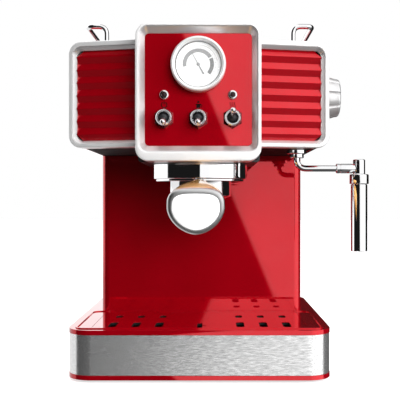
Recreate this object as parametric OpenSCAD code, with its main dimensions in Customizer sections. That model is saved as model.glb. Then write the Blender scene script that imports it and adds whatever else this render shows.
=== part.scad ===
// Pump espresso machine: red casing, steel trim, pressure gauge, three toggle
// switches, bayonet portafilter, swivelling steam wand, lift-out drip tray and
// rear water tank.
// Frame: origin on the floor under the centre of the base, +Z up, -Y the front.

/* [Base] */
// Width of the base
base_w = 252; // [246:1:260]
// Depth of the base
base_d = 275; // [272:1:285]
// Height of the base's top over the floor
base_h = 50; // [50:0.5:52]
// Plan radius of the base's corners
base_r = 24; // [18:1:28]
// Height of the rubber feet that show
foot_h = 3; // [2:0.5:4]
// Height of the lower red trim line
trim_low = 4.3; // [3:0.1:5]
// Height of the upper red trim line
trim_top = 4.5; // [4:0.1:5]
// Thickness of the steel band
band_t = 1; // [0.8:0.1:1.4]

/* [Column and head] */
// Width of the column
column_w = 220; // [216:1:222]
// Distance from the base's front to the column's front
column_back = 131; // [131:1:134]
// Height of the head's underside
head_z = 221.5; // [221:0.5:222]
// Height of the head's top
head_top = 321.4; // [321:0.1:322]
// Width of the head's casing
head_w = 236; // [234:1:238]
// Distance from the base's front to the back of column and head
rear_back = 212; // [212:1:213]
// Wall of the sheet casings
wall = 2.5; // [2:0.1:3]

/* [Front frames] */
// Width of the centre frame
centre_w = 113.6; // [113:0.1:114]
// Height of the centre frame's lower edge
centre_z = 207.7; // [207.5:0.1:208]
// Height of the centre frame's upper edge
centre_top = 332.5; // [332:0.1:333]
// How far the centre frame stands in front of the base
centre_proud = 34; // [33:0.5:34]
// How far the wings' inner ends stand in front of the base
wing_proud = 15; // [14:0.5:16]
// Half width over both wings
wing_half = 123; // [122:0.5:124]
// Sweep of the wings
wing_sweep = 13; // [12:0.5:14]
// Ridges on each wing panel
ridge_count = 7; // [5:1:9]

/* [Controls] */
// Radius of the gauge's bezel
gauge_r = 25; // [24:0.5:26]
// Height of the gauge's centre
gauge_z = 295; // [294:0.1:295.2]
// Spacing of the toggle switches
toggle_pitch = 31; // [30:0.5:32]
// Height of the toggle switches
toggle_z = 246.6; // [246:0.1:247]
// Tilt of a toggle lever from level
toggle_tilt = 20; // [15:1:22]
// Height of the indicator lamps
led_z = 267.8; // [266.8:0.2:268.4]

/* [Group and portafilter] */
// Distance from the base's front to the group's axis
group_back = 48; // [48:0.5:49]
// Radius of the group head
group_r = 47; // [46:0.5:47.5]
// Radius of the portafilter's barrel
barrel_r = 31; // [30.5:0.1:31.5]
// Slope of the portafilter's handle
handle_slope = 8.9; // [8:0.1:10]
// Length of the wooden handle
handle_len = 116; // [110:1:118]
// Distance between the two spouts
spout_gap = 31; // [28:0.5:33]

/* [Steam side] */
// Sideways position of the steam arm's swivel
arm_x = 94.4; // [93:0.1:96]
// Height of the steam arm's level part
arm_z = 203.3; // [202:0.1:204]
// Length of the steam arm from swivel to sleeve
arm_reach = 60.8; // [58:0.1:62]
// Radius of the froth sleeve
sleeve_r = 8; // [7.5:0.1:8.5]
// Height of the froth sleeve's mouth
sleeve_z = 123; // [118:1:128]
// Radius of the steam knob
knob_r = 21.4; // [20:0.1:22]
// Height of the steam knob's axis
knob_z = 275.9; // [274:0.1:278]

/* [Rails, tray and tank] */
// Thickness of the cup rails' rod
rail_d = 5; // [4:0.5:6]
// Height over all, at the top of the rails
rail_top = 344.6; // [342:0.1:348]
// Width of the drip tray
tray_w = 238.4; // [237:0.2:238.6]
// Depth of the drip tray
tray_d = 121; // [119:0.5:121]
// Width of the drip grid
grid_w = 207; // [204:0.5:207]
// Width of the water tank
tank_w = 176; // [160:1:180]
// Depth of the water tank
tank_d = 46; // [40:1:48]

/* [Hidden] */
$fn = 64;

eps = 0.01;            // overshoot of a cut
run = 0.05;            // radial clearance of a running fit
gap = 0.3;             // clearance between neighbours that move apart
front_y = -base_d / 2;
rear_y = base_d / 2;

// Base
band_z0 = foot_h + trim_low;
band_z1 = base_h - trim_top;
band_in = 0.5;         // how far the steel band stands back from the trim lines
base_wall = 3;
hollow_in = 6;         // from the base's sides to the hollow under the column
hollow_r = 14;
tray_y0 = front_y + 9.3;
tray_y1 = tray_y0 + tray_d + 0.7;
tray_floor_z = 12;
tray_r = 9.7;
plate_t = 2;
plate_in = 6;          // from the base's sides to the bottom plate
foot_r = 9;
foot_in = 26;          // from the base's sides to a foot's centre
foot_x = base_w / 2 - foot_in;
foot_y = base_d / 2 - foot_in;
screw_r = 2;
screw_head = 1.5;
screw_grip = 5;        // length of a screw above the bottom plate
screw_y = base_d / 2 - 50;
cord_x = 70;
cord_z = 26;
cord_hole_r = 6;
cord_seat = 8;         // depth of the cord's hole in the back wall

// Column and head
column_y = front_y + column_back;
shell_y = front_y + rear_back;
column_r = 9;
skin_back = 14;        // how far the column's front skin wraps round the sides
column_gate = 12;      // from the column's front and back to the opening under it
head_r = 9;
floor_w = 216;
deck_w = 209.4;
turret_y1 = front_y + 24;
neck_y1 = front_y + 100;   // back of the low housing round the group

// Front frames
centre_y = front_y - centre_proud;
centre_d = 28;
centre_back = centre_y + centre_d;
centre_r = 12;
open_w = 97.2;
open_z0 = 221.6;
open_z1 = 323.6;
open_r = 4;
bezel_depth = 6;       // from the frame's face to the control panel
panel_y = centre_y + bezel_depth;
panel_t = 3;
wing_x = centre_w / 2;
wing_y = front_y - wing_proud;
wing_len = (wing_half - wing_x) / cos(wing_sweep);
wing_rim = 7.5;
wing_depth = 14;
wing_r = 12;
ridge_z0 = 228.2;
ridge_z1 = 312.8;
ridge_valley = 6;
ridge_crest = 2.5;
ridge_foot = 0.5;      // where the crest stands within a ridge, from its upper edge
ridge_r = 6;           // corner radius of the ridged panels
ridge_pitch = (ridge_z1 - ridge_z0) / ridge_count;
wing_back = wing_y + wing_depth / cos(wing_sweep);   // back of a wing at its inner end
all_z = 400;           // taller than the machine, for cuts right through
all_y = 60;            // deeper than a wing, for cuts right through

// Controls
case_r = 21.8;
case_front_r = 21.05;  // the case where it passes inside the bezel
case_bore = 20.3;
bezel_in = 21.1;
dial_y = panel_y - 5;
toggle_x = [-toggle_pitch, 0, toggle_pitch];
switch_hole_r = 6;
bush_r = 5.9;
collar_r = 7.1;
collar_bore = 4.4;
collar_len = 7;
nut_t = 3;
nut_flats = 16.4;
pivot_y = panel_y - nut_t - 3.5;
pivot_r = 1.2;
lever_len = 15;
led_r = 4.45;
led_bore = 2.5;
led_hole_r = 3;
led_len = 9;

// Group and portafilter
group_y = front_y + group_back;
group_z0 = 190.8;      // lower face of the group's flange
group_step = 193;
group_z1 = 213;
bore_top = 205;
bore_r = 36.2;
groove_r = 40.3;
groove_z0 = 197.1;
groove_z1 = 201.2;
lug_r = 39.6;
lug_half = 15;         // half angle of a bayonet lug
lug_z = 197.6;
turn = 45;             // unlocking turn of the portafilter
flange_r = 35.5;
flange_z = 195.5;
flange_top = 200.7;
barrel_z = 176;
barrel_cone = 6;       // height of the barrel's conical bottom
outlet_r = 6;
spout_z = 156;
spout_r = 5.5;
spout_wall = 1.5;
spout_y = barrel_z - 12;   // height of the spouts' cross tube
cup_r = 27;
cup_wall = 0.8;
cup_z = 180;
handle_y = group_y - barrel_r;
handle_z = 186;
neck_r = 4.6;
neck_len = 17;         // neck that passes under the group's flange
ferrule_r = 9;
ferrule_len = 21;
cap_len = 11;

// Inside
boiler_r = 32;
boiler_wall = 6;
boiler_foot = 14;      // height of the boiler's wide foot
boiler_top = 52;
stub_len = 8;
hose_r = 3;
hose_out_z = group_z1 + 37;
hose_bend = 15;
pump_y = column_y + 42;
pump_z = base_h + 16;
pump_h = 50;
pump_half = 24;
feed_z = base_h - 11;  // height of the hose from tank to pump
feed_bend = 12;
steam_z = group_z1 + 43;
steam_bend = 8;
steam_pipe_r = 2;
valve_z = 250;         // lower end of the steam valve

// Steam side
arm_y = front_y + 27;
pipe_r = 3;
bend_r = 10;
arm_top = head_z + 5.5;
knob_y = front_y + 60;
knob_x = 119;
knob_len = 21.3;
spindle_x = 103;
spindle_r = 3;
sleeve_x = arm_x + arm_reach;
sleeve_top = 188;
sleeve_wall = 1.4;
fitting_z = 198;
collar_x = 132.9;      // where the steam tube enters the collar
steam_turn = atan2(knob_y - group_y, arm_x);       // from the boiler to the steam valve
steam_len = norm([arm_x, knob_y - group_y]);

// Rails, tray and tank
rail_r = rail_d / 2;
rail_z = rail_top - rail_r;
rail_in = 91;
rail_out = 110;
rail_bend = 8;
rail_foot = 12;        // length of a rail's leg below the head's top
rail_y0 = front_y + 30;
rail_y1 = front_y + 182;
grid_t = 3.2;
grid_d = 116;
grid_y0 = tray_y0 + 3;
grid_y1 = grid_y0 + grid_d;
slot_x = [39.8, 62.6, 85.4];
float_y = front_y + 30;
tank_y = front_y + 217;
tank_z = base_h + 1;
tank_top = 300;
tank_wall = 2.5;
tank_r = 12;
lid_h = 12;
lid_wall = 2;
hinge_x = 60;
hinge_y = tank_y + 3;
hinge_z = tank_top + 5;
hinge_r = 1.5;
ear_half = 4;
valve_y = tank_y + tank_d / 2;
valve_r = 5.9;

// ---------- helpers ----------

// rectangle with arc corners, in its own plane
module round_rect(x0, x1, y0, y1, r) {
    translate([x0 + r, y0]) square([x1 - x0 - 2 * r, y1 - y0]);
    translate([x0, y0 + r]) square([x1 - x0, y1 - y0 - 2 * r]);
    for (x = [x0 + r, x1 - r], y = [y0 + r, y1 - r]) translate([x, y]) circle(r);
}

// round_rect standing on the plan, from z0 to z1
module slab(x0, x1, y0, y1, z0, z1, r) {
    translate([0, 0, z0]) linear_extrude(z1 - z0) round_rect(x0, x1, y0, y1, r);
}

// round_rect facing the front, from y0 back to y1
module front_slab(x0, x1, z0, z1, y0, y1, r) {
    translate([0, y1, 0]) rotate([90, 0, 0]) linear_extrude(y1 - y0) round_rect(x0, x1, z0, z1, r);
}

// box given by its two corners
module box(x0, x1, y0, y1, z0, z1) {
    translate([x0, y0, z0]) cube([x1 - x0, y1 - y0, z1 - z0]);
}

// box centred on x, half_x to each side
module wide_box(x, half_x, y0, y1, z0, z1) {
    box(x - half_x, x + half_x, y0, y1, z0, z1);
}

// cylinder that points back along +Y from the given point
module back_cyl(x, y, z, r, len) {
    translate([x, y, z]) rotate([-90, 0, 0]) cylinder(h = len, r = r);
}

// cylinder that points right along +X from the given point
module side_cyl(x, y, z, r, len) {
    translate([x, y, z]) rotate([0, 90, 0]) cylinder(h = len, r = r);
}

// quarter bend of a round bar from angle a on, in the plane of its name, about centre c
module elbow(a, bend, r) {
    rotate(a) rotate_extrude(angle = 90) translate([bend, 0]) circle(r);
}

module xy_elbow(c, a, bend, r) { translate(c) elbow(a, bend, r); }
module xz_elbow(c, a, bend, r) { translate(c) rotate([90, 0, 0]) elbow(a, bend, r); }
module yz_elbow(c, a, bend, r) { translate(c) rotate([90, 0, 90]) elbow(a, bend, r); }

// round-ended slot of the grid, cut along Y
module slot_cut(x, y0, y1, w) {
    slab(x - w / 2, x + w / 2, y0, y1, base_h - grid_t - 1, base_h + 1, w / 2 - eps);
}

// circular sector of half angle a about direction d
module sector(r, a, d) {
    far = 2 * r;
    intersection() {
        circle(r);
        rotate(d) polygon([[0, 0], [far * cos(a), -far * sin(a)], [far * cos(a), far * sin(a)]]);
    }
}

// both sides of the machine
module both_sides() {
    children();
    mirror([1, 0, 0]) children();
}

// rod between two points, with round ends
module rod(a, b, r) {
    d = b - a;
    len = norm(d);
    translate(a) rotate([0, acos(d[2] / len), atan2(d[1], d[0])]) cylinder(h = len, r = r);
    for (end = [a, b]) translate(end) sphere(r);
}

// ---------- base ----------

// outline of the base, drawn in by inset
module base_outline(z0, z1, inset) {
    slab(-base_w / 2 + inset, base_w / 2 - inset, front_y + inset, rear_y - inset, z0, z1, base_r - inset);
}

// places of the bottom plate's screws
module at_screws(z) {
    for (x = [-foot_x, 0, foot_x], y = [-screw_y, screw_y]) translate([x, y, z]) children();
}

module base_housing() {
    hollow_x = base_w / 2 - hollow_in;
    gate_x = 80;
    gate_r = 6;
    color("crimson") difference() {
        union() {
            base_outline(foot_h, band_z0, 0);
            base_outline(band_z0 - eps, band_z1 + eps, band_in + band_t);
            base_outline(band_z1, base_h, 0);
        }
        // recess for the drip tray, open at the top
        slab(-tray_w / 2 - gap, tray_w / 2 + gap, tray_y0 - gap, tray_y1,
             tray_floor_z, base_h + 1, tray_r + gap);
        // hollow under the column, open at the bottom
        slab(-hollow_x, hollow_x, tray_y1 + base_wall, rear_y - hollow_in,
             foot_h - 1, base_h - base_wall, hollow_r);
        // recess for the bottom plate
        base_outline(foot_h - 1, foot_h + plate_t, plate_in);
        at_screws(foot_h) cylinder(h = plate_t + screw_grip, r = screw_r);
        // wire and hose opening into the column
        slab(-gate_x, gate_x, column_y + column_gate, shell_y - column_gate,
             base_h - base_wall - 1, base_h + 1, gate_r);
        // seat of the tank valve
        translate([0, valve_y, base_h - base_wall - 1]) cylinder(h = base_wall + 2, r = valve_r + base_wall);
        back_cyl(cord_x, rear_y - cord_seat, cord_z, cord_hole_r, cord_seat + 1);
    }
}

module base_plate() {
    vents = 6;         // vent slots on each side of the middle one
    vent_pitch = 11;
    vent_half = 2;
    color("dimgray") difference() {
        base_outline(foot_h, foot_h + plate_t, plate_in + gap);
        at_screws(foot_h - 1) cylinder(h = plate_t + 2, r = screw_r);
        for (i = [-vents:vents]) slab(i * vent_pitch - vent_half, i * vent_pitch + vent_half, 60, 90,
                                      foot_h - 1, foot_h + plate_t + 1, vent_half - eps);
    }
}

module steel_band() {
    play = 0.1;
    color("silver") difference() {
        base_outline(band_z0 + play, band_z1 - play, band_in);
        base_outline(band_z0 - 1, band_z1 + 1, band_in + band_t);
        back_cyl(cord_x, rear_y - cord_seat, cord_z, cord_hole_r, cord_seat + 1);
    }
}

module feet() {
    color("black") for (x = [-foot_x, foot_x], y = [-foot_y, foot_y]) translate([x, y, 0])
        cylinder(h = foot_h, r = foot_r);
}

module base_screws() {
    head_r = 3.4;
    cross = [4, 0.8, 1.8];
    color("gray") at_screws(foot_h - screw_head) {
        difference() {
            cylinder(h = screw_head, r = head_r);
            for (t = [0, 90]) rotate(t) translate([-cross[0] / 2, -cross[1] / 2, -1]) cube(cross);
        }
        translate([0, 0, screw_head]) cylinder(h = plate_t + screw_grip, r = screw_r);
    }
}

// ---------- column and head ----------

module column_outline(z0, z1, inset) {
    slab(-column_w / 2 + inset, column_w / 2 - inset, column_y + inset, shell_y - inset,
         z0, z1, column_r - inset);
}

// the column's sheet between two depths
module column_ring(y0, y1) {
    intersection() {
        difference() {
            column_outline(base_h, head_z, 0);
            column_outline(base_h - 1, head_z + 1, wall);
        }
        box(-column_w, column_w, y0, y1, 0, head_z + 1);
    }
}

module column_front() {
    color("crimson") column_ring(column_y - 1, column_y + skin_back);
}

module column_shell() {
    vents = 8;
    vent_x = 40;
    vent_z = 90;
    vent_pitch = 9;
    vent_w = 4;
    color("firebrick") difference() {
        column_ring(column_y + skin_back, shell_y + 1);
        for (i = [0:vents - 1])
            front_slab(-vent_x, vent_x, vent_z + i * vent_pitch, vent_z + i * vent_pitch + vent_w,
                       shell_y - wall - 1, shell_y + 1, vent_w / 2 - eps);
    }
}

// plan of the head, following the backs of the swept wings at the front
module head_plan(z0, z1, inset) {
    x = head_w / 2 - inset;
    y_out = wing_back + (head_w / 2 - wing_x) * tan(wing_sweep);
    translate([0, 0, z0]) linear_extrude(z1 - z0)
        polygon([[-x, y_out], [-wing_x, wing_back], [wing_x, wing_back], [x, y_out],
                 [x, shell_y], [-x, shell_y]]);
}

module head_profile(inset, y1) {
    front_slab(-head_w / 2 + inset, head_w / 2 - inset, head_z + inset, head_top - inset,
               wing_y, y1, head_r - inset);
}

module head_shell() {
    play = 0.1;
    spindle_hole = 5;
    color("firebrick") difference() {
        intersection() {
            head_profile(0, shell_y);
            head_plan(head_z - 1, head_top + 1, 0);
        }
        head_profile(wall, shell_y - wall);
        // openings for the deck above, the floor below and the steam spindle
        wide_box(0, deck_w / 2 + play, wing_y - 1, shell_y - wall, head_top - wall - 1, head_top + 1);
        wide_box(0, floor_w / 2 + play, wing_y - 1, shell_y - wall, head_z - 1, head_z + wall + 1);
        side_cyl(head_w / 2 - wall - 1, knob_y, knob_z, spindle_hole, wall + 2);
    }
}

module head_floor() {
    play = 0.1;
    hole_x = 90;
    arm_hole = 3.6;
    color("black") difference() {
        intersection() {
            head_plan(head_z, head_z + wall, wall);
            wide_box(0, floor_w / 2, wing_y, shell_y - wall - play, 0, all_z);
        }
        // the group's housing and the column come through
        wide_box(0, wing_x + play, wing_y - 1, neck_y1 + play, 0, all_z);
        wide_box(0, hole_x, column_y + 10, shell_y - 10, 0, all_z);
        translate([arm_x, arm_y, head_z - 1]) cylinder(h = wall + 2, r = arm_hole);
    }
}

module top_deck() {
    play = 0.1;
    slots = 5;         // warming slots on each side of the middle one
    slot_pitch = 10;
    slot_half = 1.5;
    color("firebrick") difference() {
        intersection() {
            head_plan(head_top - wall, head_top, 1);
            wide_box(0, deck_w / 2, wing_y, shell_y - wall - play, 0, all_z);
        }
        // the turret rises through the front of the deck
        wide_box(0, wing_x + play, wing_y - 1, turret_y1 + play, 0, all_z);
        for (x = [-rail_in, rail_in], y = [rail_y0, rail_y1])
            translate([x, y, head_top - wall - 1]) cylinder(h = wall + 2, r = rail_r + run);
        for (i = [-slots:slots]) slab(i * slot_pitch - slot_half, i * slot_pitch + slot_half, 20, 62,
                                      head_top - wall - 1, head_top + 1, slot_half - eps);
    }
}

module turret_shell() {
    play = 0.1;
    under = 0.3;       // how far the casing stays inside the centre frame's outline
    neck_r = 3;
    x = wing_x - play;
    door_x = 48.8;
    color("black") difference() {
        union() {
            front_slab(-x, x, centre_z + under, centre_top - under, centre_back, turret_y1, centre_r);
            front_slab(-x, x, centre_z + under, head_z + wall, centre_back, neck_y1, neck_r);
        }
        front_slab(-wing_x + wall, wing_x - wall, centre_z + wall, centre_top - wall,
                   centre_back - 1, turret_y1 - wall, centre_r - wall);
        wide_box(0, wing_x - wall, centre_back - 1, neck_y1 - wall, centre_z + wall, head_z + wall + 1);
        // opening between the turret and the head
        wide_box(0, door_x, front_y, turret_y1 + 1, head_z - 2, head_top - 20);
        // the group head passes through the underside
        translate([0, group_y, centre_z - 1]) cylinder(h = wall + 2, r = group_r);
    }
}

// ---------- front frames ----------

module centre_bezel() {
    steps = 6;
    side = 5.2;
    more_top = 1.1;    // the bevel is a little wider at the top
    open_x = open_w / 2;
    color("silver") difference() {
        front_slab(-wing_x, wing_x, centre_z, centre_top, centre_y, centre_back, centre_r);
        front_slab(-open_x, open_x, open_z0, open_z1, centre_y - 1, centre_back + 1, open_r);
        // stepped bevel down to the panel
        for (i = [0:steps - 1]) {
            s = side * (1 - (i + 0.5) / steps);
            front_slab(-open_x - s, open_x + s, open_z0 - s, open_z1 + s * more_top,
                       centre_y - 1, centre_y + bezel_depth * (i + 1) / steps, open_r + s * 0.8);
        }
    }
}

module control_panel() {
    play = 0.1;
    color("crimson") difference() {
        front_slab(-open_w / 2 + play, open_w / 2 - play, open_z0 + play, open_z1 - play,
                   panel_y, panel_y + panel_t, open_r - play);
        back_cyl(0, panel_y - 1, gauge_z, case_r + play, panel_t + 2);
        for (x = toggle_x) back_cyl(x, panel_y - 1, toggle_z, switch_hole_r, panel_t + 2);
        for (x = [-toggle_pitch, toggle_pitch]) back_cyl(x, panel_y - 1, led_z, led_hole_r, panel_t + 2);
    }
}

// a piece in the right wing's own frame: X along the wing, Y into it
module in_wing() {
    difference() {
        translate([wing_x, wing_y, 0]) rotate([0, 0, wing_sweep]) children();
        box(-wing_x - 10, wing_x, wing_y - all_y, wing_y + all_y, 0, all_z);
    }
}

module wing_frame() {
    root = -40;        // starts inside the centre frame and is cut off there
    color("silver") in_wing() difference() {
        front_slab(root, wing_len, head_z, head_top, 0, wing_depth, wing_r);
        front_slab(root - 1, wing_len - wing_rim, ridge_z0, ridge_z1, -1, wing_depth + 1, ridge_r);
    }
}

module wing_panel() {
    root = -40;
    play = 0.05;
    tip = wing_len - wing_rim;
    ridges = [for (i = [0:ridge_count - 1]) each [
        [ridge_valley, ridge_z1 - i * ridge_pitch],
        [ridge_crest, ridge_z1 - (i + ridge_foot) * ridge_pitch]
    ]];
    backs = [[wing_depth - 1, ridge_z0], [wing_depth - 1, ridge_z1]];
    color("crimson") in_wing() intersection() {
        translate([root, 0, 0]) rotate([90, 0, 90]) linear_extrude(tip - root)
            polygon(concat(backs, ridges, [[ridge_valley, ridge_z0]]));
        front_slab(root - 1, tip - play, ridge_z0 + play, ridge_z1 - play, -1, wing_depth, ridge_r - play);
    }
}

module right_wing_frame() { wing_frame(); }
module left_wing_frame() { mirror([1, 0, 0]) wing_frame(); }
module right_wing_panel() { wing_panel(); }
module left_wing_panel() { mirror([1, 0, 0]) wing_panel(); }

// ---------- cup rails ----------

// front half of one rail: leg, bend outwards, bend backwards
module rail_end() {
    foot_z = head_top - rail_foot;
    side_bend = [rail_in + rail_bend, rail_y0, rail_z - rail_bend];
    back_bend = [rail_out - rail_bend, rail_y0 + rail_bend, rail_z];
    translate([rail_in, rail_y0, foot_z]) cylinder(h = side_bend[2] - foot_z, r = rail_r);
    xz_elbow(side_bend, 90, rail_bend, rail_r);
    side_cyl(side_bend[0], rail_y0, rail_z, rail_r, back_bend[0] - side_bend[0]);
    xy_elbow(back_bend, -90, rail_bend, rail_r);
}

module cup_rails() {
    middle = (rail_y0 + rail_y1) / 2;
    color("silver") both_sides() {
        rail_end();
        translate([0, middle, 0]) mirror([0, 1, 0]) translate([0, -middle, 0]) rail_end();
        back_cyl(rail_out, rail_y0 + rail_bend, rail_z, rail_r, rail_y1 - rail_y0 - 2 * rail_bend);
    }
}

module rail_nuts() {
    nut_h = 5;
    nut_r = 5.2;
    color("gray") for (x = [-rail_in, rail_in], y = [rail_y0, rail_y1])
        translate([x, y, head_top - wall - nut_h]) difference() {
            cylinder(h = nut_h, r = nut_r, $fn = 6);
            translate([0, 0, -1]) cylinder(h = nut_h + 2, r = rail_r);
        }
}

// ---------- gauge ----------

module gauge_case() {
    front = 3;         // the case's front edge stands this far before the panel
    depth = 17;
    stub = [5, 6];     // radius and length of the pressure inlet
    color("dimgray") difference() {
        union() {
            back_cyl(0, panel_y - front, gauge_z, case_front_r, front + 1);
            back_cyl(0, panel_y, gauge_z, case_r, depth);
            back_cyl(0, panel_y + depth - 1, gauge_z, stub[0], stub[1]);
        }
        back_cyl(0, panel_y - front - 1, gauge_z, case_bore, depth + front - 1);
    }
}

module gauge_bezel() {
    lip = gauge_r - bezel_in;
    proud = 6;
    color("silver") translate([0, panel_y, gauge_z]) rotate([90, 0, 0]) rotate_extrude() {
        translate([bezel_in, 0]) square([lip, proud]);
        intersection() {
            translate([gauge_r - lip, proud]) circle(lip);
            translate([bezel_in, proud - 0.1]) square([lip + 0.1, lip + 1]);
        }
    }
}

module gauge_dial() {
    color("white") back_cyl(0, dial_y + 1, gauge_z, case_bore - 0.1, 1);
}

module gauge_lens() {
    color("white", 0.3) back_cyl(0, dial_y - 4, gauge_z, bezel_in - 0.1, 1);
}

module gauge_needle() {
    tip = 11.5;
    tail = 10.4;
    hub_r = 2.6;
    pin_r = 0.8;
    rest = 28.8;       // resting angle left of upright
    color("black") translate([0, dial_y + 0.6, gauge_z]) rotate([0, -rest, 0]) rotate([90, 0, 0])
        linear_extrude(0.8) {
            polygon([[-1.5, -tail], [1.5, -tail], [0.5, tip], [-0.5, tip]]);
            circle(hub_r);
        }
    color("black") back_cyl(0, dial_y - 0.8, gauge_z, pin_r, 1.5);
}

// ---------- toggles and lamps ----------

module toggle_bodies() {
    body_y = panel_y + panel_t + 1;
    body_end = panel_y + 19;
    tab = 6;
    tab_pitch = 5;
    color("dimgray") for (x = toggle_x) {
        difference() {
            back_cyl(x, panel_y - nut_t, toggle_z, bush_r, nut_t + panel_t + 1);
            back_cyl(x, panel_y - nut_t - 1, toggle_z, bush_r - 1.3, nut_t + panel_t);
        }
        wide_box(x, 6.5, body_y, body_end, toggle_z - 8, toggle_z + 8);
        for (z = [-tab_pitch, 0, tab_pitch]) wide_box(x, 2, body_end, body_end + tab,
                                                      toggle_z + z - 0.4, toggle_z + z + 0.4);
    }
}

module toggle_nuts() {
    across_corners = nut_flats / cos(30) / 2;
    color("crimson") for (x = toggle_x) difference() {
        translate([x, panel_y, toggle_z]) rotate([90, 0, 0]) cylinder(h = nut_t, r = across_corners, $fn = 6);
        back_cyl(x, panel_y - nut_t - 1, toggle_z, bush_r + run, nut_t + 2);
    }
}

// knurled collars, with a cross hole for the lever's pin
module toggle_collars() {
    flutes = 18;
    flute_r = 0.7;
    front = panel_y - nut_t - collar_len;
    color("silver") for (x = toggle_x) difference() {
        back_cyl(x, front, toggle_z, collar_r, collar_len);
        back_cyl(x, front - 1, toggle_z, collar_bore, collar_len + 2);
        side_cyl(x - collar_bore - 1, pivot_y, toggle_z, pivot_r + run, 2 * collar_bore + 2);
        for (i = [0:flutes - 1]) translate([x, 0, toggle_z]) rotate([0, i * 360 / flutes, 0])
            back_cyl(collar_r + flute_r / 2, front + 1.5, 0, flute_r, collar_len - 2.5);
    }
}

// bat lever on its cross pin, tilted by t degrees below level
module toggle_lever(x, t) {
    ball_r = 4;
    color("silver") translate([x, pivot_y, toggle_z]) rotate([t, 0, 0]) {
        sphere(ball_r);
        side_cyl(-collar_bore - 0.8, 0, 0, pivot_r, 2 * collar_bore + 1.6);
        rotate([90, 0, 0]) cylinder(h = lever_len, r1 = 1.7, r2 = 2.6);
        translate([0, -lever_len, 0]) sphere(2.7);
    }
}

module toggle_lever_left() { toggle_lever(toggle_x[0], toggle_tilt); }
module toggle_lever_centre() { toggle_lever(toggle_x[1], toggle_tilt); }
module toggle_lever_right() { toggle_lever(toggle_x[2], -toggle_tilt); }

module led_bezels() {
    proud = 2.6;
    color("silver") for (x = [-toggle_pitch, toggle_pitch]) difference() {
        union() {
            back_cyl(x, panel_y - proud, led_z, led_r, proud);
            back_cyl(x, panel_y - 0.1, led_z, led_hole_r - run, led_len);
        }
        back_cyl(x, panel_y - proud - 1, led_z, led_bore, led_len + proud + 2);
    }
}

module led_lenses() {
    front = panel_y - 1.4;
    dome_r = 2.93;
    lens_r = led_bore - run;
    color("darkred") for (x = [-toggle_pitch, toggle_pitch]) {
        back_cyl(x, front, led_z, lens_r, led_len);
        translate([x, front, led_z]) intersection() {
            translate([0, 1.6, 0]) sphere(dome_r);
            back_cyl(0, -4, 0, lens_r - run, 4.1);
        }
    }
}

// ---------- group ----------

module group_head() {
    flange_in = 2;
    notch = 4;
    color("silver") translate([0, group_y, 0]) difference() {
        union() {
            translate([0, 0, group_step]) cylinder(h = group_z1 - group_step, r = group_r - run);
            translate([0, 0, group_z0]) cylinder(h = group_step - group_z0 + 1, r = group_r - flange_in);
        }
        translate([0, 0, group_z0 - 1]) cylinder(h = bore_top - group_z0 + 1, r = bore_r);
        translate([0, 0, groove_z0]) cylinder(h = groove_z1 - groove_z0, r = groove_r);
        // entry slots for the lugs
        translate([0, 0, group_z0 - 1]) linear_extrude(groove_z1 - group_z0)
            for (s = [0, 180]) sector(groove_r, lug_half + 3, s - turn);
        // water way
        translate([0, 0, bore_top - 1]) cylinder(h = group_z1 - bore_top + 2, r = 2);
        // locking notch on the right
        translate([group_r - 1, -notch / 2, group_z0 - 1]) cube([notch, notch, notch + 2]);
    }
}

module group_gasket() {
    height = 3.2;
    color("black") translate([0, group_y, bore_top - height]) difference() {
        cylinder(h = height, r = bore_r - 0.4);
        translate([0, 0, -1]) cylinder(h = height + 2, r = cup_r + 1);
    }
}

module shower_screen() {
    sheet = 1;
    height = 2.8;
    rings = 3;
    hole_r = 0.9;
    color("silver") translate([0, group_y, bore_top - height]) difference() {
        union() {
            cylinder(h = sheet, r = cup_r + 0.6);
            cylinder(h = height, r = 6);
        }
        for (ring = [1:rings], i = [0:ring * 8 - 1]) rotate(i * 360 / (ring * 8))
            translate([3 + ring * 7, 0, -1]) cylinder(h = sheet + 2, r = hole_r);
    }
}

// ---------- portafilter ----------

module portafilter_body() {
    bore = cup_r + 1.2;
    cone_r = 15;
    cone_z = barrel_z - barrel_cone;
    color("silver") translate([0, group_y, 0]) difference() {
        union() {
            translate([0, 0, barrel_z]) cylinder(h = flange_z - barrel_z + 1, r = barrel_r);
            translate([0, 0, flange_z]) cylinder(h = flange_top - flange_z, r = flange_r);
            translate([0, 0, lug_z]) linear_extrude(flange_top - lug_z)
                for (s = [0, 180]) sector(lug_r, lug_half, s);
            translate([0, 0, cone_z]) cylinder(h = barrel_cone + eps, r1 = cone_r, r2 = barrel_r - 2);
        }
        translate([0, 0, barrel_z + 3]) cylinder(h = 40, r = bore);
        translate([0, 0, cone_z - 2]) cylinder(h = 20, r = outlet_r);
    }
}

module filter_basket() {
    rim_r = 34;
    rings = 2;
    ring_pitch = 8;
    hole_r = 0.6;
    color("gray") translate([0, group_y, 0]) difference() {
        union() {
            translate([0, 0, cup_z]) cylinder(h = flange_top - cup_z, r = cup_r);
            translate([0, 0, flange_top]) cylinder(h = cup_wall, r = rim_r);
        }
        translate([0, 0, cup_z + cup_wall]) cylinder(h = 30, r = cup_r - cup_wall);
        translate([0, 0, cup_z - 1]) cylinder(h = 3, r = hole_r);
        for (ring = [1:rings], i = [0:ring * 8 - 1]) rotate(i * 360 / (ring * 8))
            translate([ring * ring_pitch, 0, cup_z - 1]) cylinder(h = 3, r = hole_r);
    }
}

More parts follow.
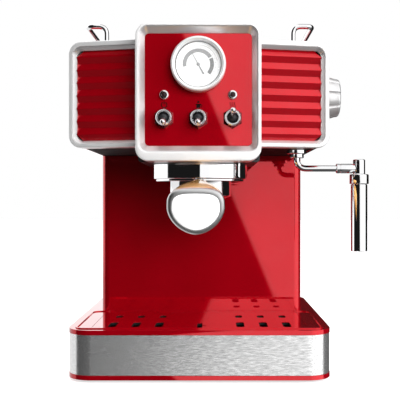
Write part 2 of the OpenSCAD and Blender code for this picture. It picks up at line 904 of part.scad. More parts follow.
module portafilter_spout() {
    half = spout_gap / 2;
    cone_z = barrel_z - barrel_cone;
    left = [-half, 0, spout_y];
    right = [half, 0, spout_y];
    bore = spout_r - spout_wall;
    color("silver") translate([0, group_y, 0]) difference() {
        union() {
            translate([0, 0, spout_y]) cylinder(h = cone_z - spout_y, r = 9);
            translate([0, 0, cone_z]) cylinder(h = 8, r = outlet_r - run);
            rod(left, right, spout_r);
            for (x = [-half, half]) translate([x, 0, spout_z]) cylinder(h = spout_y - spout_z, r = spout_r);
        }
        translate([0, 0, spout_y]) cylinder(h = 20, r = 4);
        rod(left, right, bore);
        for (x = [-half, half]) translate([x, 0, spout_z - 1]) cylinder(h = spout_y - spout_z, r = bore);
    }
}

// a piece in the handle's own frame: Z outwards along the handle
module on_handle() {
    translate([0, handle_y, handle_z]) rotate([90 + handle_slope, 0, 0]) children();
}

// neck out of the barrel and the collar that holds the wood
module portafilter_ferrule() {
    color("silver") difference() {
        on_handle() {
            translate([0, 0, -neck_r]) cylinder(h = neck_r + ferrule_len, r = neck_r);
            translate([0, 0, neck_len]) cylinder(h = ferrule_len - neck_len, r = ferrule_r);
        }
        translate([0, group_y, barrel_z - 10]) cylinder(h = 40, r = barrel_r);
    }
}

// oval section of the handle at distance z
module handle_ring(z, half_w, half_h) {
    translate([0, 0, z]) linear_extrude(0.5) scale([half_w, half_h]) circle(1, $fn = 40);
}

module portafilter_handle() {
    middle = ferrule_len + handle_len * 0.5;
    color("orange") on_handle() {
        hull() {
            handle_ring(ferrule_len, 10, 10);
            handle_ring(middle, 16.6, 13.6);
        }
        hull() {
            handle_ring(middle, 16.6, 13.6);
            handle_ring(ferrule_len + handle_len - 0.5, 21.2, 17);
        }
    }
}

module handle_cap() {
    start = ferrule_len + handle_len;
    color("silver") on_handle() hull() {
        handle_ring(start, 22.2, 18);
        handle_ring(start + cap_len * 0.6, 22.7, 18.4);
        handle_ring(start + cap_len * 0.9, 20.5, 16.4);
        handle_ring(start + cap_len - 0.5, 17, 13.5);
    }
}

// ---------- inside ----------

// a level round bar at height z, from a to b along direction t about the group's axis
module out_bar(t, z, a, b, r) {
    translate([0, group_y, z]) rotate([0, 0, t]) side_cyl(a, 0, 0, r, b - a);
}

module boiler() {
    bore = boiler_r - boiler_wall;
    stub_r = 4;
    way_r = 1.5;
    color("gray") difference() {
        union() {
            translate([0, group_y, group_z1]) {
                cylinder(h = boiler_foot, r = boiler_r + 4);
                translate([0, 0, boiler_foot]) cylinder(h = boiler_top - boiler_foot, r = boiler_r);
                translate([0, 0, boiler_top]) cylinder(h = 5, r = boiler_r - 10);
            }
            // water inlet and steam outlet stubs
            out_bar(90, hose_out_z, boiler_r - 2, boiler_r + stub_len, stub_r);
            out_bar(steam_turn, steam_z, boiler_r - 2, boiler_r + stub_len, stub_r);
        }
        translate([0, group_y, group_z1 + 3]) cylinder(h = boiler_top - 6, r = bore);
        translate([0, group_y, group_z1 - 1]) cylinder(h = 6, r = 2);
        out_bar(90, hose_out_z, bore - 1, boiler_r + stub_len + 1, way_r);
        out_bar(steam_turn, steam_z, bore - 1, boiler_r + stub_len + 1, way_r);
    }
}

module thermostats() {
    can = [7, 6];      // radius and height
    tab = [4, 6, 5];
    can_x = 12;
    color("black") for (x = [-can_x, can_x]) translate([x, group_y, group_z1 + boiler_top + 5]) {
        cylinder(h = can[1], r = can[0]);
        translate([-tab[0] / 2, -tab[1] / 2, can[1]]) cube(tab);
    }
}

module control_board() {
    board_y = panel_y + 27;
    sheet = 1.6;
    relay = 8;         // half width of a relay
    color("green") wide_box(0, 40, board_y, board_y + sheet, 228, 268);
    color("black") for (i = [-1:1]) wide_box(i * 24, relay, board_y + sheet, board_y + 9, 240, 256);
}

module pump() {
    depth = 18;
    coil_top = pump_z + pump_h;
    outlet = [12, 24];
    nozzle = [4, 14];
    inlet = [4, 10];
    color("dimgray") {
        wide_box(0, pump_half, pump_y - depth, pump_y + depth, pump_z, coil_top);
        translate([0, pump_y, coil_top]) cylinder(h = outlet[1], r = outlet[0]);
        translate([0, pump_y, coil_top + outlet[1]]) cylinder(h = nozzle[1], r = nozzle[0]);
        translate([0, pump_y, pump_z - inlet[1]]) cylinder(h = inlet[1], r = inlet[0]);
    }
}

module pump_mounts() {
    block = [20, 28, 40];
    block_x = pump_half + block[0] / 2;
    color("black") for (x = [-block_x, block_x]) translate([x, pump_y, base_h]) difference() {
        translate([-block[0] / 2, -block[1] / 2, 0]) cube(block);
        translate([-block[0] / 2 - 1, -block[1] / 2 - 6, 10]) cube([block[0] + 2, 12, 20]);
    }
}

module water_hoses() {
    pump_out = pump_z + pump_h + 38;
    pump_in = pump_z - 10;
    rise = hose_out_z - hose_bend - pump_out;
    boiler_end = group_y + boiler_r + stub_len;
    feed_y = pump_y + feed_bend;
    socket_y = valve_y - valve_r - base_wall;
    color("white") {
        // pump up to the boiler
        translate([0, pump_y, pump_out]) cylinder(h = rise, r = hose_r);
        yz_elbow([0, pump_y - hose_bend, hose_out_z - hose_bend], 0, hose_bend, hose_r);
        back_cyl(0, boiler_end, hose_out_z, hose_r, pump_y - hose_bend - boiler_end);
        // tank socket forward to the pump
        back_cyl(0, feed_y, feed_z, hose_r, socket_y - feed_y);
        yz_elbow([0, feed_y, feed_z + feed_bend], 180, feed_bend, hose_r);
        translate([0, pump_y, feed_z + feed_bend]) cylinder(h = pump_in - feed_z - feed_bend, r = hose_r);
    }
}

// cup under the base's top that takes the tank's valve
module tank_socket() {
    top = base_h - base_wall;
    floor_z = top - 4.5;
    color("black") translate([0, valve_y, 0]) difference() {
        translate([0, 0, feed_z - 4]) cylinder(h = top - feed_z + 4, r = valve_r + base_wall);
        translate([0, 0, floor_z]) cylinder(h = 10, r = valve_r + gap);
        translate([0, 0, feed_z]) cylinder(h = 10, r = hose_r - 1);
        rotate([90, 0, 0]) cylinder(h = 10, r = hose_r - 1);
    }
}

module steam_valve() {
    body_x = 86;
    body_len = 28;
    color("goldenrod") difference() {
        union() {
            side_cyl(body_x, knob_y, knob_z, 9, body_len);
            translate([arm_x, knob_y, valve_z]) cylinder(h = knob_z - valve_z, r = 6);
            out_bar(steam_turn, steam_z, steam_len - 12, steam_len, 4);
        }
        side_cyl(spindle_x - 2, knob_y, knob_z, spindle_r + run, body_len);
    }
}

// boiler to steam valve, and steam valve down to the swivel
module steam_pipes() {
    low = valve_z - 4 - steam_bend;
    end_z = arm_top + gap;
    back = knob_y - steam_bend;
    front = arm_y + steam_bend;
    color("silver") {
        out_bar(steam_turn, steam_z, boiler_r + stub_len, steam_len - 12, steam_pipe_r);
        translate([arm_x, knob_y, low + steam_bend])
            cylinder(h = valve_z - low - steam_bend, r = steam_pipe_r);
        yz_elbow([arm_x, back, low + steam_bend], -90, steam_bend, steam_pipe_r);
        back_cyl(arm_x, front, low, steam_pipe_r, back - front);
        yz_elbow([arm_x, front, low - steam_bend], 90, steam_bend, steam_pipe_r);
        translate([arm_x, arm_y, end_z]) cylinder(h = low - steam_bend - end_z, r = steam_pipe_r);
    }
}

// ---------- steam side ----------

module steam_knob() {
    flutes = 9;
    flute_r = 5.4;
    dish = 3;
    rim = 5;           // plain rim before the flutes start
    color("silver") difference() {
        union() {
            side_cyl(knob_x, knob_y, knob_z, knob_r, knob_len - dish);
            translate([knob_x + knob_len - dish, knob_y, knob_z]) rotate([0, 90, 0])
                cylinder(h = dish, r1 = knob_r, r2 = knob_r - dish);
            side_cyl(spindle_x, knob_y, knob_z, spindle_r, knob_x - spindle_x + 1);
        }
        for (i = [0:flutes - 1]) translate([0, knob_y, knob_z]) rotate([i * 360 / flutes, 0, 0])
            side_cyl(knob_x + rim, knob_r + 3, 0, flute_r, knob_len);
    }
}

module wand_socket() {
    step = 4;
    color("silver") translate([arm_x, arm_y, 0]) difference() {
        union() {
            translate([0, 0, head_z - step]) cylinder(h = step, r = 9.4);
            translate([0, 0, head_z - 2 * step]) cylinder(h = step, r = 7);
            translate([0, 0, head_z]) cylinder(h = wall, r = pipe_r + 0.5);
        }
        translate([0, 0, head_z - 20]) cylinder(h = 40, r = pipe_r + run);
    }
}

module steam_arm() {
    bend_x = arm_x + bend_r;
    bend_z = arm_z + bend_r;
    stop_z = head_z + wall + 0.5;
    color("silver") {
        translate([arm_x, arm_y, bend_z]) cylinder(h = arm_top - bend_z, r = pipe_r);
        translate([arm_x, arm_y, stop_z]) cylinder(h = arm_top - stop_z, r = 5.6);
        xz_elbow([bend_x, arm_y, bend_z], 180, bend_r, pipe_r);
        side_cyl(bend_x, arm_y, arm_z, pipe_r, collar_x - bend_x + 4);
    }
}

module wand_fitting() {
    collar = 4.65;
    body = [5.85, 14.2];
    ring_r = 9.3;
    tube_z = sleeve_z + 8; // mouth of the steam tube inside the sleeve
    color("silver") difference() {
        union() {
            side_cyl(collar_x, arm_y, arm_z, collar, sleeve_x - collar_x);
            translate([sleeve_x, arm_y, fitting_z]) cylinder(h = body[1], r = body[0]);
            translate([sleeve_x, arm_y, sleeve_top + gap])
                cylinder(h = fitting_z - sleeve_top - gap, r = ring_r);
            translate([sleeve_x, arm_y, tube_z]) cylinder(h = fitting_z - tube_z, r = pipe_r);
        }
        side_cyl(collar_x - 1, arm_y, arm_z, pipe_r, 5);
        translate([sleeve_x, arm_y, tube_z - 1]) cylinder(h = 70, r = 1);
    }
}

module froth_sleeve() {
    neck = 10;         // solid length that rides on the tube
    len = sleeve_top - sleeve_z;
    color("silver") translate([sleeve_x, arm_y, 0]) difference() {
        translate([0, 0, sleeve_z]) cylinder(h = len, r = sleeve_r);
        translate([0, 0, sleeve_z - 1]) cylinder(h = len + 1 - neck, r = sleeve_r - sleeve_wall);
        translate([0, 0, sleeve_z]) cylinder(h = 100, r = pipe_r + run);
    }
}

// ---------- drip tray ----------

module drip_tray() {
    play = 0.1;
    rim_x = grid_w / 2 + gap;
    ledge = 4;
    tray_back = tray_y0 + tray_d;
    end_x = (tray_w / 2 + rim_x - ledge) / 2;
    bead_w = 1.8;
    bead_h = 1;
    color("crimson") difference() {
        slab(-tray_w / 2, tray_w / 2, tray_y0, tray_back, tray_floor_z + play, base_h + bead_h, tray_r);
        // deck inside the raised bead
        slab(-tray_w / 2 + bead_w, tray_w / 2 - bead_w, tray_y0 + bead_w, tray_back - bead_w,
             base_h, base_h + bead_h + 1, tray_r - bead_w);
        // basin
        slab(-rim_x + ledge, rim_x - ledge, grid_y0 + 3, grid_y1 - 3, tray_floor_z + play + 2, base_h + 1, 6);
        // ledge that holds the grid
        slab(-rim_x, rim_x, grid_y0 - gap, grid_y1 + gap, base_h - grid_t, base_h + 1, 3);
        // hollow rims at both ends, open at the bottom
        for (s = [-1, 1]) slab(s * end_x - 7, s * end_x + 7, tray_y0 + 8, tray_back - 8,
                               tray_floor_z - 1, base_h - 3, ledge);
    }
}

module drip_grid() {
    slot_front = [21, 53, 7.8];    // start and end behind the base's front, and width
    slot_rear = [83, 100, 7];
    cross = [2.5, 17];
    bar = [5.8, 2.8];
    below = base_h - grid_t - 1;
    color("crimson") difference() {
        slab(-grid_w / 2, grid_w / 2, grid_y0, grid_y1, base_h - grid_t + run, base_h, 2.7);
        for (s = [-1, 1], x = slot_x, row = [slot_front, slot_rear])
            slot_cut(s * x, front_y + row[0], front_y + row[1], row[2]);
        // cross-shaped opening for the float
        wide_box(0, cross[0], float_y - cross[1], float_y + cross[1], below, base_h + 1);
        wide_box(0, bar[0], float_y - bar[1], float_y + bar[1], below, base_h + 1);
    }
}

module tray_float() {
    float_z = tray_floor_z + 2.2;
    body_h = 10;
    stem_top = base_h - grid_t - 4;
    color("black") {
        translate([0, float_y, float_z]) cylinder(h = body_h, r = 11);
        wide_box(0, 1.2, float_y - 8, float_y + 8, float_z + body_h - eps, stem_top);
        wide_box(0, 4.8, float_y - 1.2, float_y + 1.2, float_z + body_h - eps, stem_top);
    }
}

// ---------- water tank ----------

module water_tank() {
    marks = 4;
    mark_pitch = 50;
    mark_z = 90;
    lip = 2;           // the front rim is lower, so the lid's front edge can tip past it
    rear = tank_y + tank_d;
    color("lightgray", 0.5) difference() {
        union() {
            difference() {
                slab(-tank_w / 2, tank_w / 2, tank_y, rear, tank_z, tank_top, tank_r);
                wide_box(0, tank_w, tank_y - 1, hinge_y + 5, tank_top - lip, tank_top + 1);
            }
            for (s = [-1, 1]) wide_box(s * hinge_x, ear_half, tank_y - 0.2, hinge_y + 3,
                                       tank_top - 10, hinge_z + 3);
        }
        slab(-tank_w / 2 + tank_wall, tank_w / 2 - tank_wall, tank_y + tank_wall, rear - tank_wall,
             tank_z + tank_wall, tank_top + 1, tank_r - tank_wall);
        translate([0, valve_y, tank_z - 1]) cylinder(h = tank_wall + 2, r = valve_r + 0.1);
        side_cyl(-tank_w / 2, hinge_y, hinge_z, hinge_r + run, tank_w);
        // level marks on the left side
        for (i = [0:marks - 1]) box(-tank_w / 2 - 1, -tank_w / 2 + 0.6, tank_y + 14, tank_y + 24,
                                    mark_z + i * mark_pitch, mark_z + 1 + i * mark_pitch);
    }
}

module tank_lid() {
    play = 0.4;
    cheek = 2.6;
    cheek_z1 = tank_top + lid_h - 1;
    pin = 2 * (ear_half + 2);
    color("black") {
        difference() {
            slab(-tank_w / 2, tank_w / 2, tank_y, tank_y + tank_d, tank_top + gap, tank_top + lid_h, tank_r);
            slab(-tank_w / 2 + lid_wall, tank_w / 2 - lid_wall, tank_y + lid_wall, tank_y + tank_d - lid_wall,
                 tank_top - 1, tank_top + lid_h - lid_wall, tank_r - lid_wall);
            for (s = [-1, 1]) wide_box(s * hinge_x, ear_half + play, tank_y - 1, hinge_y + 6,
                                       tank_top - 1, tank_top + lid_h + 1);
        }
        // hinge pins bridge the notches, between two cheeks
        for (s = [-1, 1]) {
            side_cyl(s * hinge_x - pin / 2, hinge_y, hinge_z, hinge_r, pin);
            for (t = [-1, 1]) wide_box(s * hinge_x + t * (ear_half + play + cheek / 2), cheek / 2,
                                       tank_y + 0.5, tank_y + 7, tank_top + 1.5, cheek_z1);
        }
    }
}

module tank_valve() {
    tip_z = base_h - 6;
    color("gray") translate([0, valve_y, 0]) difference() {
        union() {
            translate([0, 0, tip_z]) cylinder(h = tank_z + tank_wall + 3 - tip_z, r = valve_r);
            translate([0, 0, tank_z + tank_wall]) cylinder(h = 4, r = valve_r + base_wall);
        }
        translate([0, 0, tip_z - 1]) cylinder(h = 30, r = hose_r);
    }
}

module cord_gland() {
    flange_r = 8.5;
    inner_y = rear_y - cord_seat - 2;
    cord_r = 3.5;
    color("black") difference() {
        union() {
            back_cyl(cord_x, rear_y - cord_seat, cord_z, cord_hole_r - 0.1, cord_seat);
            back_cyl(cord_x, rear_y - band_in, cord_z, flange_r, 2 + band_in);
            back_cyl(cord_x, inner_y, cord_z, flange_r, rear_y - hollow_in - inner_y);
        }
        back_cyl(cord_x, inner_y - 1, cord_z, cord_r, 20);
    }
}

// ---------- what is drawn ----------

base_housing();
base_plate();
steel_band();
feet();
base_screws();
column_front();
column_shell();
head_shell();
head_floor();
turret_shell();
top_deck();
centre_bezel();
control_panel();
left_wing_frame();
right_wing_frame();
left_wing_panel();
right_wing_panel();
cup_rails();
rail_nuts();
gauge_case();
gauge_bezel();
gauge_dial();
gauge_lens();
gauge_needle();
toggle_bodies();
toggle_collars();
toggle_nuts();
toggle_lever_left();
toggle_lever_centre();
toggle_lever_right();
led_bezels();
led_lenses();
group_head();
group_gasket();
shower_screen();
portafilter_body();
filter_basket();
portafilter_spout();
portafilter_ferrule();
portafilter_handle();
handle_cap();
boiler();
thermostats();
control_board();
pump();
pump_mounts();
water_hoses();
tank_socket();
steam_valve();
steam_pipes();
steam_knob();
wand_socket();
steam_arm();
wand_fitting();
froth_sleeve();
drip_tray();
drip_grid();
tray_float();
water_tank();
tank_lid();
tank_valve();
cord_gland();
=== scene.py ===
"""Looks of the espresso machine: fine meshes, materials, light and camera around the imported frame."""
from math import acos, cos, pi, radians, sin, tan
import bmesh
import bpy
from mathutils import Matrix, Vector


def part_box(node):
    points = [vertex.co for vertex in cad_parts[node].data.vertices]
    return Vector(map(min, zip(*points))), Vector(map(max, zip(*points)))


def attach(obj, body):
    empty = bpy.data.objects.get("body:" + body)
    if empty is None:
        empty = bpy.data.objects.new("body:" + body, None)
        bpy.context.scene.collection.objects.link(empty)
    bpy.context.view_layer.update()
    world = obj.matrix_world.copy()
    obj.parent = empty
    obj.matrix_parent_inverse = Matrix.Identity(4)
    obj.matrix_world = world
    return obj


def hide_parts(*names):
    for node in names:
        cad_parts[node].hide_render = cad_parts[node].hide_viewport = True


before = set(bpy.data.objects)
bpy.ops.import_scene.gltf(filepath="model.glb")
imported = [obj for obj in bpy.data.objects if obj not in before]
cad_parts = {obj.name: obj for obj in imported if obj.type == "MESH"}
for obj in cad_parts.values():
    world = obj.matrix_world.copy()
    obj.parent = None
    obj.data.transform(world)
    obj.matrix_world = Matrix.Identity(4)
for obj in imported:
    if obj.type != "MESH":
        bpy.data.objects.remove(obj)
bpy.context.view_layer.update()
MM = 0.001                      # the script's own unit is the millimetre


def box(node):
    """(lowest corner, highest corner) of a CAD node, in millimetres."""
    low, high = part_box(node)
    return Vector(low) / MM, Vector(high) / MM


def middle(node):
    low, high = box(node)
    return (low + high) / 2


# ---------------------------------------------------------------- materials

class Nodes:
    """Short words for building a node tree."""

    def __init__(self, tree):
        self.tree = tree
        tree.nodes.clear()

    def add(self, kind, **inputs):
        node = self.tree.nodes.new("ShaderNode" + kind)
        for key, value in inputs.items():
            name = key.replace("_", " ")
            if name in node.inputs:
                self.put(node.inputs[name], value)
            else:
                setattr(node, key, value)
        return node

    def put(self, socket, value):
        if isinstance(value, bpy.types.NodeSocket):
            self.tree.links.new(value, socket)
        else:
            socket.default_value = value

    def math(self, operation, a, b=0.0, c=0.0):
        node = self.tree.nodes.new("ShaderNodeMath")
        node.operation = operation
        for socket, value in zip(node.inputs, (a, b, c)):
            self.put(socket, value)
        return node.outputs[0]

    def smooth(self, value, start, end, low=0.0, high=1.0):
        """low before start, high after end, a smooth step between."""
        node = self.tree.nodes.new("ShaderNodeMapRange")
        node.interpolation_type = "SMOOTHSTEP"
        for socket, v in zip(node.inputs, (value, start, end, low, high)):
            self.put(socket, v)
        return node.outputs[0]

    def noise(self, scale, detail=2.0, stretch=(1, 1, 1), rotation=(0, 0, 0)):
        """Noise in object space; scale is features per metre."""
        where = self.add("TexCoord").outputs["Object"]
        mapping = self.add("Mapping", Vector=where, Scale=stretch, Rotation=rotation)
        node = self.add("TexNoise", Vector=mapping.outputs[0], Scale=scale, Detail=detail)
        return node.outputs[0]

    def mix(self, factor, a, b):
        node = self.tree.nodes.new("ShaderNodeMix")
        node.data_type = "RGBA"
        self.put(node.inputs[0], factor)
        self.put(node.inputs[6], a)
        self.put(node.inputs[7], b)
        return node.outputs[2]

    def bump(self, height, strength, distance, normal=None):
        node = self.add("Bump", Height=height, Strength=strength, Distance=distance)
        if normal is not None:
            self.put(node.inputs["Normal"], normal)
        return node.outputs[0]


def colour(r, g, b):
    return (r, g, b, 1.0)


def material(name):
    """A new material with its node builder and Principled shader."""
    mat = bpy.data.materials.new(name)
    mat.use_nodes = True
    n = Nodes(mat.node_tree)
    shader = n.add("BsdfPrincipled")
    out = n.add("OutputMaterial")
    n.put(out.inputs["Surface"], shader.outputs[0])
    return mat, n, shader.inputs


def red_paint(name, base, metal, rough, coat_rough):
    """Candy red: a tinted metallic ground under clear coat, faintly uneven."""
    mat, n, s = material(name)
    cloud = n.noise(9.0, 3.0)
    deep = colour(base[0] * 0.9, base[1] * 0.8, base[2] * 0.8)
    n.put(s["Base Color"], n.mix(n.smooth(cloud, 0.35, 0.65), deep, colour(*base)))
    n.put(s["Metallic"], metal)
    n.put(s["Roughness"], n.smooth(n.noise(60.0, 3.0), 0.3, 0.7, rough * 0.85, rough * 1.2))
    n.put(s["Specular IOR Level"], 0.0)
    n.put(s["Coat Weight"], 1.0)
    n.put(s["Coat Roughness"], coat_rough)
    n.put(s["Normal"], n.bump(n.noise(40.0, 2.0), 0.02, 0.0002))
    return mat


def plated(name, base, rough, metal=1.0, grain=900.0, depth=0.05):
    """Satin silver plating or paint with a fine even grain."""
    mat, n, s = material(name)
    cloud = n.noise(14.0, 2.0)
    dull = colour(*(c * 0.97 for c in base))
    n.put(s["Base Color"], n.mix(n.smooth(cloud, 0.35, 0.65), dull, colour(*base)))
    n.put(s["Metallic"], metal)
    n.put(s["Roughness"], n.smooth(n.noise(80.0, 3.0), 0.3, 0.7, rough * 0.85, rough * 1.15))
    n.put(s["Normal"], n.bump(n.noise(grain, 2.0), depth, 0.0002))
    return mat


def mirror_chrome(name, clean, smudged):
    """Mirror plating with faint smudges and hairline scratches."""
    mat, n, s = material(name)
    smudge = n.smooth(n.noise(35.0, 4.0), 0.45, 0.7, clean, smudged)
    hair = n.smooth(n.noise(260.0, 2.0, (1, 1, 12)), 0.62, 0.7, 0.0, 0.05)
    n.put(s["Base Color"], n.mix(n.noise(20.0), colour(0.86, 0.86, 0.87), colour(0.92, 0.92, 0.93)))
    n.put(s["Metallic"], 1.0)
    n.put(s["Roughness"], n.math("ADD", smudge, hair))
    return mat


def brushed_steel(name, along, base, rough, metal=1.0):
    """Sheet steel brushed along one axis: fine streaks in tone, gloss and height."""
    mat, n, s = material(name)
    squeeze = [90.0] * 3
    squeeze["XYZ".index(along)] = 5.0
    fine = n.noise(30.0, 2.0, tuple(squeeze))
    broad = n.noise(15.0, 2.0, tuple(squeeze))
    tone = n.math("ADD", n.math("MULTIPLY", fine, 0.6), n.math("MULTIPLY", broad, 0.4))
    dark = colour(*(c * 0.70 for c in base))
    light = colour(*(min(1.0, c * 1.14) for c in base))
    n.put(s["Base Color"], n.mix(n.smooth(tone, 0.40, 0.60), dark, light))
    n.put(s["Metallic"], metal)
    n.put(s["Roughness"], n.smooth(tone, 0.3, 0.7, rough * 1.25, rough * 0.8))
    n.put(s["Normal"], n.bump(fine, 0.03, 0.0002))
    return mat


def red_over_painted_shade(name, level):
    """Candy red like the base; near-black matt below a level (mm), painted shade for the dark insides of
    slots and basin.
    """
    mat, n, s = material(name)
    height = n.add("SeparateXYZ", Vector=n.add("TexCoord").outputs["Object"]).outputs[2]
    rim = n.smooth(height, level * MM, (level + 0.2) * MM)
    cloud = n.smooth(n.noise(9.0, 3.0), 0.35, 0.65)
    deep = colour(RED[0] * 0.9, RED[1] * 0.8, RED[2] * 0.8)
    # near-black under the level: painted shade inside the slots and the tray's basin
    black = n.mix(cloud, colour(0.010, 0.010, 0.010), colour(0.014, 0.014, 0.014))
    n.put(s["Base Color"], n.mix(rim, black, n.mix(cloud, deep, colour(*RED))))
    n.put(s["Metallic"], n.math("MULTIPLY", rim, 0.64))
    n.put(s["Roughness"], n.smooth(rim, 0.0, 1.0, 0.5, 0.04))
    n.put(s["Specular IOR Level"], 0.0)
    n.put(s["Coat Weight"], rim)
    n.put(s["Coat Roughness"], 0.01)
    n.put(s["Normal"], n.bump(n.noise(40.0, 2.0), 0.02, 0.0002))
    return mat


def moulded(name, base, rough, grain=1400.0, depth=0.25, shine=0.5):
    """Moulded plastic or rubber with a fine spark-eroded texture."""
    mat, n, s = material(name)
    cloud = n.noise(18.0, 2.0)
    light = colour(*(c * 1.3 + 0.004 for c in base))
    n.put(s["Base Color"], n.mix(n.smooth(cloud, 0.3, 0.7), colour(*base), light))
    n.put(s["Specular IOR Level"], shine)
    n.put(s["Roughness"], n.smooth(n.noise(120.0, 2.0), 0.3, 0.7, rough * 0.9, min(1.0, rough * 1.15)))
    n.put(s["Normal"], n.bump(n.noise(grain, 2.0), depth, 0.0003))
    return mat


def lacquered_wood():
    """Light beech under lacquer: growth bands and fine pores that run along the handle."""
    mat, n, s = material("wood")
    bands = n.noise(26.0, 3.0, (3.0, 0.35, 3.0), (radians(9), 0, 0))
    pores = n.noise(420.0, 2.0, (1.0, 0.05, 1.0), (radians(9), 0, 0))
    body = n.mix(n.smooth(bands, 0.3, 0.7), colour(0.95, 0.40, 0.07), colour(1.0, 0.56, 0.14))
    dark = n.mix(0.5, body, colour(0.35, 0.12, 0.02))
    n.put(s["Base Color"], n.mix(n.smooth(pores, 0.6, 0.72), body, dark))
    n.put(s["Roughness"], n.smooth(bands, 0.3, 0.7, 0.34, 0.26))
    n.put(s["Coat Weight"], 1.0)
    n.put(s["Coat Roughness"], 0.06)
    n.put(s["Normal"], n.bump(pores, 0.08, 0.0002))
    return mat


def clear(name, tint, rough, alpha):
    """Thin clear plastic, seen through, with a faint haze."""
    mat, n, s = material(name)
    haze = n.noise(25.0, 3.0)
    n.put(s["Base Color"], n.mix(haze, colour(*(c * 0.92 for c in tint)), colour(*tint)))
    n.put(s["Roughness"], n.smooth(haze, 0.3, 0.7, rough, rough * 1.6))
    n.put(s["Alpha"], n.smooth(haze, 0.3, 0.7, alpha, alpha * 1.15))
    return mat


RED = (0.58, 0.0004, 0.010)
FINISHES = {
    # finish: (material, record slot)
    "red_gloss": (red_paint("red_gloss", RED, 0.64, 0.04, 0.01), "red_gloss"),
    # tray and grid: red above a level, painted shade (near-black) below it in the slots and basin
    "red_tray_painted_shade": (red_over_painted_shade("tray_red_painted_shade", box("drip_grid")[0].z - 0.6), "red_gloss"),
    "red_grid_painted_shade": (red_over_painted_shade("grid_red_painted_shade", box("drip_grid")[1].z - 0.7), "red_gloss"),
    "red_casing": (red_paint("red_casing", RED, 0.60, 0.08, 0.03), "red_casing"),
    # nuts in a darker copy of the panel red: painted shade that sets them off from the panel
    "shaded_red_nut": (red_paint("shaded_red_nut", (0.20, 0.0004, 0.005), 0.90, 0.12, 0.03), "red_gloss"),
    "steel": (brushed_steel("brushed_steel", "X", (0.96, 0.96, 0.96), 0.22, 0.90), "brushed_steel"),
    "silver": (plated("satin_silver", (0.88, 0.88, 0.88), 0.34, 0.55), "satin_silver"),
    "bevel": (plated("bevel_silver", (0.76, 0.76, 0.76), 0.33, 0.80), "satin_silver"),
    "bright": (plated("bright_silver", (0.98, 0.98, 0.98), 0.28, 0.05), "satin_silver"),
    "satin": (plated("satin_metal", (0.74, 0.74, 0.74), 0.42, 1.0), "satin_silver"),
    "chrome": (mirror_chrome("chrome", 0.035, 0.09), "chrome"),
    "soft_chrome": (mirror_chrome("soft_chrome", 0.22, 0.30), "chrome"),
    "plain": (brushed_steel("steel_plain", "Z", (0.62, 0.62, 0.62), 0.35), "steel_plain"),
    "black": (moulded("black_plastic", (0.012, 0.012, 0.014), 0.42), "black_plastic"),
    "matt_black": (moulded("matt_black", (0.012, 0.012, 0.013), 0.7, 1400.0, 0.25, 0.15), "black_plastic"),
    "rubber": (moulded("rubber_black", (0.018, 0.018, 0.018), 0.75, 900.0, 0.3), "rubber_black"),
    "dial": (moulded("dial_white", (0.74, 0.74, 0.74), 0.5, 2500.0, 0.05), "dial_white"),
    "grey_print": (moulded("dial_grey", (0.09, 0.09, 0.09), 0.5, 2500.0, 0.05), "needle_black"),
    "mid_print": (moulded("dial_mid", (0.19, 0.19, 0.19), 0.5, 2500.0, 0.05), "needle_black"),
    "pale_print": (moulded("dial_pale", (0.34, 0.34, 0.34), 0.5, 2500.0, 0.05), "needle_black"),
    "black_print": (moulded("print_black", (0.001, 0.001, 0.001), 0.9, 2500.0, 0.05, 0.0), "needle_black"),
    "lens": (clear("clear_lens", (0.95, 0.97, 0.98), 0.02, 0.08), "clear_lens"),
    "tank": (clear("tank_clear", (0.55, 0.60, 0.62), 0.08, 0.42), "tank_clear"),
    "lamp": (moulded("lamp_red", (0.012, 0.002, 0.003), 0.12, 1400.0, 0.02), "lamp_red"),
    "wood": (lacquered_wood(), "wood"),
    "alloy": (plated("boiler_alloy", (0.6, 0.6, 0.6), 0.5, 1.0, 500.0, 0.4), "boiler_alloy"),
    "coil": (brushed_steel("pump_steel", "Z", (0.45, 0.45, 0.46), 0.4), "pump_steel"),
    "board": (moulded("circuit_board", (0.01, 0.10, 0.03), 0.4), "circuit_board"),
    "hose": (moulded("hose_silicone", (0.72, 0.72, 0.68), 0.4, 500.0, 0.1), "hose_silicone"),
    "brass": (plated("brass", (0.78, 0.55, 0.22), 0.25), "brass"),
}


# ---------------------------------------------------------------- mesh tools

def finish_mesh(obj, crease):
    """Smooth shading with creases kept sharp."""
    bm = bmesh.new()
    bm.from_mesh(obj.data)
    bmesh.ops.remove_doubles(bm, verts=bm.verts, dist=1e-7)
    bmesh.ops.recalc_face_normals(bm, faces=bm.faces)
    bm.to_mesh(obj.data)
    bm.free()
    for face in obj.data.polygons:
        face.use_smooth = True
    obj.data.set_sharp_from_angle(angle=radians(crease))


def piece(name, shape, body, finish, nodes=(), place=None, crease=30):
    """A new mesh piece from (points in mm, faces); it rides on body and stands for nodes."""
    points, faces = shape
    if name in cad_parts:
        name += "_fine"
    mesh = bpy.data.meshes.new(name)
    mesh.from_pydata([Vector(p) for p in points], [], faces)
    if place is not None:
        mesh.transform(place)
    mesh.transform(Matrix.Scale(MM, 4))
    mat, slot = FINISHES[finish]
    mesh.materials.append(mat)
    obj = bpy.data.objects.new(name, mesh)
    bpy.context.scene.collection.objects.link(obj)
    finish_mesh(obj, crease)
    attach(obj, body)
    if nodes:
        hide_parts(*nodes)
    return obj


def join_shapes(*shapes):
    points, faces = [], []
    for p, f in shapes:
        start = len(points)
        points += list(p)
        faces += [tuple(i + start for i in face) for face in f]
    return points, faces


def moved(shape, matrix):
    return [matrix @ Vector(p) for p in shape[0]], shape[1]


def at(x, y, z, axis=(0, 0, 1)):
    """Matrix that stands +Z along axis at a point."""
    turn = Vector((0, 0, 1)).rotation_difference(Vector(axis)).to_matrix().to_4x4()
    return Matrix.Translation((x, y, z)) @ turn


